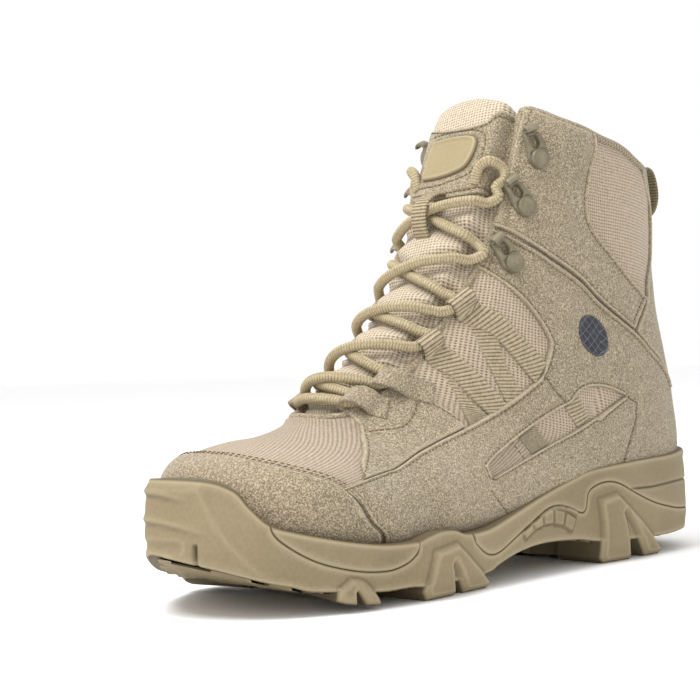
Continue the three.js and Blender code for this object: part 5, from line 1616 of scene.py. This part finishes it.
def tube_faces(n, m):
    """Faces of a closed tube of n rings with m points each, with its two ends."""
    faces = [(i * m + j, i * m + (j + 1) % m, (i + 1) * m + (j + 1) % m, (i + 1) * m + j)
             for i in range(n - 1) for j in range(m)]
    return faces + [list(range(m))[::-1], [(n - 1) * m + j for j in range(m)]]


def ribbon(name, path, across, width, thickness, material, edge=0.45):
    """A flat strap along a path with rounded edges, lying across the given direction."""
    tangent = unit(np.gradient(path, axis=0))
    across = unit(across - tangent * (across * tangent).sum(1, keepdims=True))
    normal = np.cross(tangent, across)
    half, thick = width / 2, thickness / 2
    cols = max(6, int(width / 0.9))
    u = np.linspace(-1, 1, cols + 1)
    profile = [(v * (half - edge), thick) for v in u]
    turn = np.linspace(math.pi / 2, -math.pi / 2, 6)[1:-1]
    profile += [(half - edge + edge * math.cos(a), thick * math.sin(a)) for a in turn]
    profile += [(v * (half - edge), -thick) for v in u[::-1]]
    profile += [(-(half - edge) - edge * math.cos(a), thick * math.sin(a)) for a in -turn]
    profile = np.array(profile)
    n, m = len(path), len(profile)
    points = path[:, None] + across[:, None] * profile[None, :, :1] + normal[:, None] * profile[None, :, 1:2]
    length = arc_length(path)
    weave = np.stack([np.repeat(length[:, None], m, 1), np.repeat(profile[None, :, 0], n, 0),
                      np.zeros((n, m))], -1).reshape(-1, 3)
    # Painted shade toward the strap's rounded edges.
    edge_dark = np.clip((np.abs(profile[:, 0]) - (half - 1.2)) / 1.2, 0, 1) * 0.25
    seam = np.repeat(edge_dark[None], n, 0).ravel()
    crest_highlight = np.zeros(n * m)
    thing = make_object(name, points.reshape(-1, 3), tube_faces(n, m), material,
                        {"seam": seam, "crest_highlight": crest_highlight, "weave": weave})
    return thing


def strand_points(low, high, reach, extra, side, count=13):
    """Stations (place, y, lift) of one strand across the tongue, lifted most in its middle."""
    out = []
    for share in np.linspace(1, -1, count):
        t = (1 - share) / 2
        out.append((low + t * (high - low), side * share * reach * HALF_BALL, extra * math.sin(math.pi * t)))
    return out


LACE_BAR = (9.02, 0.245)
PLAIT_PITCH = 1.25
TOP_LIFT = LACE_DIAMETER * 0.85


def lace_route(first):
    """Stations (place, y, lift) from the bar's middle up to the tongue patch, starting on side `first`."""
    out, side = [], first
    for k, (low, high, reach) in enumerate(LACE_CROSSES):
        lift = 0.0 if side > 0 else TOP_LIFT
        out += strand_points(low, high, reach, lift, side)
        side = -side
        following = LACE_CROSSES[k + 1][0] if k < 4 else 3.08
        middle = (high + following) / 2
        out.append((middle, side * (reach * HALF_BALL + (2.2 if k < 3 else 2.8)), 0.0 if k < 3 else 0.8))
    # round the middle hook and under the patch
    y = 0.41 * HALF_BALL
    out += [(3.06, side * y, 1.2), (2.86, side * (y + 1.8), 2.4), (2.66, side * (y + 0.8), 2.8),
            (2.6, side * (y - 2.6), 2.2), (2.72, side * (y - 5.2), 1.0), (2.9, side * (y - 6.2), -0.6),
            (3.06, side * (y - 6.5), -2.4)]
    return out


ROUTES = [lace_route(1), lace_route(-1)]
BAR = [(LACE_BAR[0], y, 0.0) for y in np.linspace(LACE_BAR[1] * HALF_BALL, -LACE_BAR[1] * HALF_BALL, 9)]
TURN = [(8.9, LACE_BAR[1] * HALF_BALL + 2.2, 0.0)]
LACE_STATIONS = (ROUTES[0][::-1] + TURN + BAR + [(a, -b, c) for a, b, c in TURN] + ROUTES[1])
LACE_PATH = smooth_path([lace_point(*row) for row in LACE_STATIONS], 0.3)
LACE_LINES = [np.array([(p_mm(a), b) for a, b, _ in route[:-6]]) for route in ROUTES]
LACE_LINES.append(np.array([(p_mm(a), b) for a, b, _ in BAR]))


def tongue_pads(place, y):
    """How far the padded tongue swells between the laces."""
    flat = np.stack([p_mm(place), y], -1)
    d = np.min([line_distance(flat, line) for line in LACE_LINES], axis=0)
    top = smooth((place - 3.35) / 0.35)
    low = 1 - smooth((place - 8.9) / 0.35)
    return 3.3 * smooth((d - 1.2) / 7.0) * top * low


def make_tongue():
    rows, cols = 260, 56
    a = np.linspace(0, 1, rows + 1)[:, None]
    across = np.linspace(-1, 1, cols + 1)[None, :] * np.ones((rows + 1, 1))
    top = 0.9 + 0.42 * across ** 2
    place = top + a * (10.2 - top)
    half = 30 * (1 - 0.03 * place)
    y = across * half
    edge = (1 - np.abs(across)) * half
    end = (place - top) * 18
    d = np.minimum(edge, end)
    round_off = 1 - np.sqrt(np.clip(1 - (1 - np.clip(d / 3.2, 0, 1)) ** 2, 0, 1))
    pads = tongue_pads(place.ravel(), y.ravel()).reshape(place.shape)
    pads += 0.8 * smooth((end - 2) / 6) * (1 - smooth((place - 1.75) / 0.25))
    normal = surface_normal(place, angle_at(place, y))
    upper = tongue_point(place, y, 0) + normal * (pads - 3.0 * round_off)[..., None]
    lower = tongue_point(place, y, -TONGUE_THICKNESS) + normal * (3.0 * round_off)[..., None]
    n = (rows + 1) * (cols + 1)
    faces = []
    w = cols + 1
    for i in range(rows):
        for j in range(cols):
            k = i * w + j
            faces.append((k, k + w, k + w + 1, k + 1))
            faces.append((n + k, n + k + 1, n + k + w + 1, n + k + w))
    for i in range(rows):
        k, m = i * w, i * w + cols
        faces += [(k, n + k, n + k + w, k + w), (m, m + w, n + m + w, n + m)]
    for j in range(cols):
        k, m = j, rows * w + j
        faces += [(k, k + 1, n + k + 1, n + k), (m, n + m, n + m + 1, m + 1)]
    points = np.concatenate([upper.reshape(-1, 3), lower.reshape(-1, 3)])
    flat = np.stack([p_mm(place), y], -1).reshape(-1, 2)
    weave = np.concatenate([flat, flat])
    weave = flat_weave(weave[:, 0] * 0.8 - weave[:, 1] * 0.6, weave[:, 0] * 0.6 + weave[:, 1] * 0.8)
    near = np.min([line_distance(flat, line) for line in LACE_LINES], axis=0)
    # Painted shade on the tongue beside the laces.
    seam = np.concatenate([0.3 * bell(near, 2.6) * (flat[:, 0] > p_mm(3.4)), np.zeros(n)])
    tongue = make_object("tongue_padded", points, faces, TONGUE_CANVAS_LIT,
                         {"seam": seam, "crest_highlight": np.zeros(2 * n), "weave": weave})
    replace("tongue")


def tongue_skin(name, loop, material, low, top, spacing=0.9, edge=0.6, relief=(), swell=None):
    """A sheet on the tongue. The loop is in (p, y) millimetres."""
    flat, tris, (starts, ends) = fill_region([loop], lambda f: f[0], spacing,
                                             [(line, (0.0, 0.4, -0.4)) for line, *_ in relief])
    d = segment_distance(flat, starts, ends)
    place = np.interp(flat[:, 0], P_OF_PLACE, PLACES)
    t = np.clip(d / edge, 0, 1)
    h = low + (top - low) * quarter_round(t)
    # Painted shade at the cut edge and in relief grooves, painted highlight on the crest of the rounded edge
    # and on ridges.
    seam, crest_highlight = np.clip(1 - d / 0.35, 0, 1) * 0.9, np.exp(-((d - edge) / (edge * 0.7)) ** 2) * (d > 0.2)
    for line, rise, width, dark in relief:
        ds = line_distance(flat, line)
        h += rise * bell(ds, width)
        seam = np.maximum(seam, max(dark, 0) * bell(ds, width))
        crest_highlight = np.maximum(crest_highlight, max(-dark, 0) * bell(ds, width))
    if swell is not None:
        h = h + swell(flat, d)
    points = tongue_point(place, flat[:, 1], h)
    nrm = surface_normal(place, angle_at(place, flat[:, 1]))
    tris = facing(points, tris, nrm)
    weave = flat_weave(flat[:, 0], flat[:, 1])
    thing = make_object(name, points, tris, material, {"seam": seam, "crest_highlight": crest_highlight, "weave": weave})
    return thing


def tongue_row(stitches, line, height, pitch=2.4, length=1.7, radius=0.3):
    place = np.interp(line[:, 0], P_OF_PLACE, PLACES)
    path = tongue_point(place, line[:, 1], height)
    stitches.add(path, surface_normal(place, angle_at(place, line[:, 1])), pitch, length, radius)


def py_line(rows, corner=50, closed=False, step=0.9):
    """Rows of (place, y) as a rounded line in (p, y)."""
    return rounded(np.array([(float(p_mm(a)), b) for a, b in rows]), corner, closed=closed, step=step)


make_tongue()

PATCH_TOP = GAP + SUEDE
patch_low = [(3.3, -19.5), (3.36, -12), (3.38, 0), (3.34, 12), (3.2, 21), (3.05, 27)]
patch_up = [(1.36, 28), (1.3, 22), (1.38, 17), (1.62, 13.5), (1.7, 6), (1.7, -6), (1.66, -14), (1.6, -19.5)]
patch_loop = py_line(patch_low + patch_up, 40, closed=True)
plate_rows = [(1.98, -12.5), (1.94, 0), (1.97, 9.5), (2.12, 12.6), (2.45, 12.2), (2.72, 9.6), (2.86, 3),
              (2.92, -6), (2.9, -12.8), (2.45, -13.4)]
plate_loop = py_line(plate_rows, 75, closed=True)
frame_line = py_line([(1.84, -14.5), (1.8, 0), (1.84, 11.5), (2.05, 15.6), (2.5, 15.4), (2.86, 11.6),
                      (3.02, 3), (3.08, -6), (3.06, -15)], 60)
low_line = py_line([(3.2, -18), (3.26, -8), (3.27, 2), (3.22, 12), (3.1, 20)], 60)
top_line = py_line([(1.68, -18), (1.78, -8), (1.79, 6), (1.72, 14), (1.5, 18.5), (1.42, 25)], 60)
patch_lines = (frame_line, low_line, top_line)
# Painted shade in the stitch grooves and round the plate.
patch = tongue_skin("tongue_patch_suede", patch_loop, SUEDE_LOOK, -0.6, PATCH_TOP, relief=[
    *((line, -0.3, 0.45, 0.4) for line in patch_lines),
    (np.concatenate([plate_loop, plate_loop[:1]]), -0.3, 0.8, 0.7)])
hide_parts("tongue_patch")
for line in patch_lines:
    tongue_row(STITCH, line, PATCH_TOP - 0.05)


def plate_form(flat, d):
    """A raised rim round a smooth sunk field."""
    return 0.35 * bell(d - 1.0, 0.55) - 0.25 * smooth((d - 1.6) / 0.8)


plate = tongue_skin("tongue_plate_rubber", plate_loop, PLATE, 1.2, 3.1, edge=0.7, spacing=0.7,
                    swell=plate_form)
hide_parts("tongue_plate")


def make_keeper():
    t = np.linspace(0, 1, 41)
    first, last = 3.3, 4.3
    place = first + t * (last - first)
    lift = 1.2 + (LACE_DIAMETER * 1.85 + 0.9) * np.sin(math.pi * t) ** 0.6
    path = tongue_point(place, np.zeros(41), lift)
    side = tongue_point(place, np.full(41, 1.0), lift) - tongue_point(place, np.full(41, -1.0), lift)
    piece = ribbon("tongue_keeper_webbing", path, side, 8.6, 1.2, KEEPER_WEB)
    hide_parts("tongue_keeper")


make_keeper()


def make_lace():
    path = LACE_PATH
    outward = np.array([1.0, 0.0, 1.0]) / math.sqrt(2)
    across, up = frames_along(path, outward)
    length = arc_length(path)
    sides = 18
    angle = 2 * math.pi * np.arange(sides) / sides
    zigzag = 1.3 * np.abs(((angle * 4 / math.pi) % 2) - 1) * 2
    plait = 0.5 + 0.5 * np.sin(length[:, None] * 2 * math.pi / PLAIT_PITCH + zigzag)
    ridge = np.abs(np.sin(2 * angle))[None] ** 0.5
    braid = plait * (0.35 + 0.65 * ridge)
    radius = LACE_DIAMETER / 2 - 0.15 + 0.18 * braid
    ring = across[:, None] * np.cos(angle)[:, None] + up[:, None] * np.sin(angle)[:, None]
    points = path[:, None] + ring * radius[..., None]
    # Painted shade in the braid's hollows and painted highlight on its crests.
    dark = np.clip(0.85 - braid * 1.5, 0, 1).ravel() * 0.8
    piece = make_object("lace_braided", points.reshape(-1, 3), tube_faces(len(path), sides), LACE,
                        {"seam": dark, "crest_highlight": np.clip(braid.ravel() * 1.6 - 0.7, 0, 1)})
    replace("lace")


make_lace()


def make_sleeve(name, place, reach, side, width, material, out_to, thickness=1.2, drop=0.0):
    """A strap folded round the lace at the throat's edge."""
    r = reach * HALF_BALL
    base = max(float(tongue_rise(place, side * (r - 1.5))), 0)
    mid = base + LACE_DIAMETER / 2 + 3 * GAP
    hug = LACE_DIAMETER / 2 + thickness / 2 + 0.25
    rows = [(out_to, 1.9 + drop), (r + 6.5, 2.6 + drop), (r + 4.2, mid + 0.6 * hug), (r + 2.0, mid + hug)]
    rows += [(r + 1.2 + hug * math.cos(a), mid + hug * math.sin(a)) for a in np.linspace(1.5, 4.5, 9)]
    rows += [(r + 5, mid - hug - 0.2), (r + 9, base - 1.5)]
    pts = [offset_point(np.array(place), angle_at(place, side * y), h) for y, h in rows]
    path = smooth_path(pts, 0.7)
    angle = angle_at(place, side * r)
    along = surface(place + 0.05, angle) - surface(place - 0.05, angle)
    return ribbon(name, path, np.tile(along * -side, (len(path), 1)), width, thickness, material)


def make_fold(name, strap, place, reach, side):
    """The end of a webbing strap folded round the lace."""

    def at(row, height):
        p, a = from_side(side_mm([row]))
        return offset_point(p, a * side, np.array([height]))[0]

    low, high = at(strap[0][0], 1.7), at(strap[1][0], 1.7)
    start, inner = (low + high) / 2, (at(strap[0][1], 1.5) + at(strap[1][1], 1.5)) / 2
    across = unit(high - low)
    y = side * (reach * HALF_BALL + 1.6)
    middle = lace_point(place, y)
    middle = middle + across * ((start - middle) @ across)
    normal = surface_normal(np.array(place), angle_at(place, y))
    ahead = middle - start
    ahead = unit(ahead - across * (ahead @ across))
    out = np.cross(across, ahead)
    out = out * np.sign(out @ normal)
    hug = LACE_DIAMETER / 2 + 0.95
    inner = start * 0.6 + inner * 0.4
    rows = [inner - out * 1.2, inner * 0.4 + start * 0.6 - out * 0.1, start + out * 0.6]
    rows += [middle + ahead * hug * math.cos(a) + out * hug * math.sin(a) for a in np.linspace(1.75, -1.6, 9)]
    rows += [start - out * 1.6, inner - out * 1.9]
    path = smooth_path(rows, 0.6)
    width = float(np.linalg.norm(high - low)) * 0.97
    return ribbon(name, path, np.tile(across, (len(path), 1)), width, 1.15, WEBBING)


for side, word in ((1, "lateral"), (-1, "medial")):
    make_fold(f"webbing_loop_upper_{word}", STRAPS[1], 5.675, 0.37, side)
    make_fold(f"webbing_loop_lower_{word}", STRAPS[3], 6.625, 0.34, side)
    make_sleeve(f"suede_loop_upper_{word}", 7.88, 0.30, side, 10.0, SUEDE_LOOK, 26, 1.4)
    make_sleeve(f"suede_loop_lower_{word}", 8.87, 0.262, side, 10.5, SUEDE_LOOK, 23, 1.4)


def hook_frame(place, across, rise, side):
    width = float(section(place, 4 if side > 0 else 5)) * HALF_BALL
    angle = float(angle_at(place, side * across * width))
    front = unit(surface(place, angle - side * 0.05) - surface(place, angle + side * 0.05))
    up = unit(surface(place - 0.05, angle) - surface(place + 0.05, angle))
    normal = surface_normal(place, angle)
    x = front * math.cos(math.radians(rise)) + up * math.sin(math.radians(rise))
    x = unit(x - normal * (x @ normal))
    origin = offset_point(np.array(place), np.array(angle), SUEDE + 2 * GAP)
    return x, np.cross(normal, x), normal, origin, angle


def hook_plate():
    outer = [(-4.6, 0), (-3.4, -3.5), (0, -5.1), (4.6, -5.0), (10.2, -3.9), (13.2, -3.3), (13.2, 3.3),
             (10.2, 3.9), (4.6, 5.0), (0, 5.1), (-3.4, 3.5)]
    hole = [(4.9, 0.0), (6.4, 2.0), (10.4, 1.9), (11.0, 0.0), (10.4, -1.9), (6.4, -2.0)]
    outer = rounded(np.array(outer), 60, closed=True, step=0.5)
    hole = rounded(np.array(hole), 90, closed=True, step=0.4)
    flat, tris, (starts, ends) = fill_region([outer, hole], lambda f: f[0] & ~f[1], 0.7, rings=(0.25, 0.6))
    d = segment_distance(flat, starts, ends)
    t = np.clip(d / 0.8, 0, 1)
    top = 1.1 + 0.9 * quarter_round(t)
    bow = 1.5 * np.sin(np.clip((flat[:, 0] - 3.5) / 9.5, 0, 1) * math.pi)
    rim, faces = walled(tris, len(flat))
    foot = np.full(len(rim), 0.05) + bow[rim] * 0.7
    points = np.concatenate([np.stack([flat[:, 0], flat[:, 1], top + bow], -1),
                             np.stack([flat[rim, 0], flat[rim, 1], foot], -1)])
    return points, faces


HOOK_PLATE = hook_plate()


def add_part(store, points, faces):
    start = sum(len(p) for p in store[0])
    store[0].append(points)
    store[1].extend([v + start for v in f] for f in faces)


def lathe(profile, sides=28):
    points, faces = [], []
    for r, z in profile:
        points += [(r * math.cos(2 * math.pi * k / sides), r * math.sin(2 * math.pi * k / sides), z)
                   for k in range(sides)]
    for i in range(len(profile) - 1):
        for k in range(sides):
            n = (k + 1) % sides
            faces.append([i * sides + k, i * sides + n, (i + 1) * sides + n, (i + 1) * sides + k])
    faces.append([(len(profile) - 1) * sides + k for k in range(sides)])
    return np.array(points), faces


RIVET = lathe([(4.5, 1.2), (4.55, 2.5), (4.3, 3.1), (3.6, 3.6), (3.5, 3.45), (3.2, 3.5), (2.2, 3.95),
               (1.0, 4.2), (0.3, 4.25)])


def hook_lip():
    """The curled tip that holds the lace."""
    path = smooth_path(np.array([(10.6, 0, 1.6), (12.8, 0, 1.5), (14.2, 0, 2.4), (14.6, 0, 4.0),
                                 (13.9, 0, 5.3), (12.4, 0, 5.7)]), 0.5)
    tangent = unit(np.gradient(path, axis=0))
    across = np.array([0.0, 1.0, 0.0])
    normal = np.cross(tangent, across)
    angle = np.linspace(0, 2 * math.pi, 17)[:-1]
    share = np.linspace(0, 1, len(path))[:, None]
    half = 3.5 - 0.3 * share
    thick = 0.85 - 0.1 * share

    def sq(v):
        return np.sign(v) * np.abs(v) ** 0.6

    points = path[:, None] + across * (half * sq(np.cos(angle)))[..., None] \
        + normal[:, None] * (thick * sq(np.sin(angle)))[..., None]
    n, m = len(path), 16
    faces = [[i * m + j, (i + 1) * m + j, (i + 1) * m + (j + 1) % m, i * m + (j + 1) % m]
             for i in range(n - 1) for j in range(m)]
    faces += [list(range(m)), [(n - 1) * m + j for j in range(m)][::-1]]
    return points.reshape(-1, 3), faces


HOOK_LIP = hook_lip()
WASHER = lathe([(4.6, 0.0), (4.6, 0.8), (4.0, 1.1), (2.6, 1.1), (2.3, 0.5), (0.2, 0.5)])


# Name, place, share of the half width, rise in degrees
HOOKS = (("top", 2.25, 0.87, 56), ("middle", 3.3, 0.84, 40), ("low", 4.47, 0.83, 34))


def make_hooks():
    washers = ([], [])
    for word, side in (("lateral", 1), ("medial", -1)):
        for name, place, across, rise in HOOKS:
            x, y, z, origin, angle = hook_frame(place, across, rise, side)
            parts = ([], [])
            for points, faces in (HOOK_PLATE, RIVET, HOOK_LIP):
                add_part(parts, points, faces)
            local = np.concatenate(parts[0])
            world = origin + local[:, :1] * x + local[:, 1:2] * y + local[:, 2:] * z
            radius = np.hypot(local[:, 0], local[:, 1])
            # Painted shade round the foot of the rivet.
            seam = np.clip(bell(radius - 4.7, 0.5) * (local[:, 2] < 2.4), 0, 1) * 0.6
            piece = make_object(f"hook_{name}_{word}_cast", world, parts[1], HOOK_PAINT,
                                {"seam": seam, "crest_highlight": np.zeros(len(world))}, sharp=38)
            replace(f"hook_{name}_{word}")
            back = offset_point(np.array(place), np.array(angle), -5.4)
            points, faces = WASHER
            add_part(washers, back + points[:, :1] * x + points[:, 1:2] * y - points[:, 2:] * z, faces)
    points = np.concatenate(washers[0])
    piece = make_object("rivet_backs", points, washers[1], HOOK_DARK,
                        {"seam": np.zeros(len(points)), "crest_highlight": np.zeros(len(points))}, sharp=38)


HOOK_DARK = make_plain("rivet_back_metal", srgb(110, 106, 98), srgb(78, 74, 68), 0.4, 0.8)
make_hooks()


# Collar rim, lining, pull loop, label, insole


def make_rim():
    """The padded roll over the collar and throat edges."""
    # The two halves meet at the back, where v jumps
    lateral = RIM[1:]
    for side, word in ((1, "lateral"), (-1, "medial")):
        flat = lateral * [1, side]
        place, angle = from_flat(flat)
        base = surface(place, angle)
        nrm = surface_normal(place, angle)
        tangent = unit(np.gradient(base, axis=0))
        out = unit(np.cross(nrm, tangent)) * side
        out = out * np.sign(out[np.argmax(base[:, 2]) // 2, 2])
        arc = arc_length(base)
        soft = soft_form(base) + rim_swell(flat, base, None)
        on_throat = smooth((arc - arc[np.argmax(base[:, 2])] - 4) / 14)
        outer = SUEDE_TOP + 0.05
        inner = -4.2 + 1.2 * on_throat * smooth((place - 5) / 2)
        centre, radius = (outer + inner) / 2, (outer - inner) / 2
        rise = 2.3 - 1.1 * on_throat
        phi = np.linspace(0, math.pi, 15)
        rows = [base - out * 2.0 + nrm * (soft - 1.2)[:, None],
                base - out * 1.9 + nrm * (soft + outer - 0.7)[:, None],
                base - out * 1.3 + nrm * (soft + outer - 0.1)[:, None]]
        for f in phi:
            rows.append(base + nrm * (soft + centre + radius * math.cos(f))[:, None]
                        + out * (rise * math.sin(f) - 0.2)[:, None])
        rows += [base - out * deep + nrm * inner[:, None] for deep in (6.0, 14.0)]
        grid = np.stack(rows, 1)
        n, m = grid.shape[:2]
        faces = []
        for i in range(n - 1):
            for j in range(m - 1):
                a = i * m + j
                q = (a, a + 1, a + m + 1, a + m)
                faces.append(q if side < 0 else q[::-1])
        # Painted shade along the row that tucks under the panel.
        dark = np.zeros((n, m))
        dark[:, 0] = 0.5
        wv = np.stack([np.repeat(arc[:, None], m, 1), np.repeat(np.arange(m)[None] * 0.8, n, 0),
                       np.zeros((n, m))], -1)
        suede_part = base[:, 0] > 0.237 * SOLE_LENGTH
        face_rows = np.repeat(suede_part[:-1], m - 1)
        cols = np.tile(np.arange(m - 1), n - 1)
        thing = make_object(f"collar_rim_{word}", grid.reshape(-1, 3), faces, SUEDE_LOOK,
                            {"seam": dark.ravel(), "crest_highlight": np.zeros(n * m), "weave": wv.reshape(-1, 3)})
        # The rear of the roll takes the darker canvas copy, painted shade.
        thing.data.materials.append(COLLAR_CANVAS_SHADED)
        thing.data.materials.append(LINING)
        index = np.where(cols >= 14, 2, np.where(face_rows, 0, 1))
        thing.data.polygons.foreach_set("material_index", index.astype(np.int32))


make_rim()
lining = skin("lining", [BOTH], lambda f: f[0], LINING, -4.4, 2.6, low=-3.9, edge=1.0, rings=(1.0,))
lining.data.flip_normals()


def make_pull_loop():
    line = smooth_path(np.array([(x * SOLE_LENGTH, 0.0, z * BOOT_HEIGHT) for x, z in PULL_LOOP]), 0.8)
    across = np.tile([0.0, 1.0, 0.0], (len(line), 1))
    piece = ribbon("pull_loop_webbing", line, across, 17, 1.4, LOOP_WEB)
    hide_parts("pull_loop")


make_pull_loop()


def make_label():
    tilt = math.radians(-38)
    t = np.linspace(0, 2 * math.pi, 90)[:-1]
    x, z = np.cos(t) * 11.2, np.sin(t) * 8.4
    loop = np.stack([0.262 * SOLE_LENGTH + x * math.cos(tilt) + z * math.sin(tilt),
                     0.488 * BOOT_HEIGHT - x * math.sin(tilt) + z * math.cos(tilt)], -1)
    flat = to_flat(*from_side(loop))
    piece = skin("side_label_oval", [flat], lambda f: f[0], PRINT_HATCH, SUEDE_TOP + 0.55, 0.6,
                 low=SUEDE_TOP - 0.3, edge=0.5, rings=(0.25, 0.7), grain=(0.79, 0.61))
    replace("side_label")


def make_hatch():
    s = Shader("print_hatch", 0.55)
    x, y, _ = s.split(s.attribute("weave", True))
    lines = []
    for value in (x, y):
        wave = s.math("ABSOLUTE", s.math("SINE", s.math("MULTIPLY", value, math.pi / 3.4)))
        lines.append(s.math("LESS_THAN", wave, 0.10))
    mark = s.math("MAXIMUM", lines[0], lines[1])
    colour = s.mix(mark, s.ramp(s.noise(500, 2.0), [(0.35, srgb(40, 41, 47)), (0.65, srgb(58, 59, 66))]),
                   srgb(112, 112, 116))
    # Painted shade in the label's edge groove and painted highlight on its raised rim.
    return s.finish(painted_shade_and_highlight(s, colour, srgb(30, 30, 34), srgb(96, 96, 100), 0.5))


PRINT_HATCH = make_hatch()
make_label()


def make_insole():
    plan = OUTLINE - OUTLINE_OUT * 13.0
    plan = plan[(plan[:, 0] > 4) & (plan[:, 0] < 286)]
    flat, tris, (starts, ends) = fill_region([plan[::2]], lambda f: f[0], 3.0, rings=(1.0, 2.5))
    d = segment_distance(flat, starts, ends)
    places = np.linspace(7.5, 15.5, 200)
    low = surface(places, math.pi)
    order = np.argsort(low[:, 0])
    z = np.interp(flat[:, 0], low[order, 0], low[order, 2]) + 7.6 + 3.5 * bell(d, 4.5)
    points = np.stack([flat[:, 0], flat[:, 1], z], -1)
    # Painted shade along the insole's edge, where it meets the upper.
    piece = make_object("insole_cloth_top", points, tris, INSOLE_CLOTH,
                        {"seam": 0.4 * bell(d, 1.5), "crest_highlight": np.zeros(len(flat)),
                         "weave": flat_weave(flat[:, 0], flat[:, 1])})
    replace("insole")


make_insole()

STITCH_PIECE = STITCH.build("seam_stitches", THREAD)
PALE_PIECE = PALE.build("bar_tacks", PALE_THREAD)


# Floor and light


def make_floor():
    mesh = bpy.data.meshes.new("floor")
    size, rim = 6.0, 96
    verts = [(0, 0, 0)] + [(size * math.cos(2 * math.pi * k / rim), size * math.sin(2 * math.pi * k / rim), 0)
                           for k in range(rim)]
    mesh.from_pydata(verts, [], [(0, k + 1, (k + 1) % rim + 1) for k in range(rim)])
    s = Shader("floor", 0.75)
    s.bsdf.inputs["Specular IOR Level"].default_value = 0.15
    mesh.materials.append(s.finish((0.97, 0.97, 0.97, 1)))
    floor = bpy.data.objects.new("floor", mesh)
    bpy.context.scene.collection.objects.link(floor)


make_floor()
world = bpy.data.worlds.new("studio")
bpy.context.scene.world = world
world.use_nodes = True
background = next(n for n in world.node_tree.nodes if n.type == "BACKGROUND")
background.inputs[0].default_value = (1.0, 1.0, 1.0, 1)
background.inputs[1].default_value = 1.0
add_area("key", (0.8, -0.05, 1.3), (0, 0, 0.08), (0.6, 0.6), 15.0)
add_area("top", (0.2, -0.1, 1.4), (0, 0, 0.1), (0.9, 0.9), 4.0)
bpy.context.scene.view_settings.view_transform = "Standard"
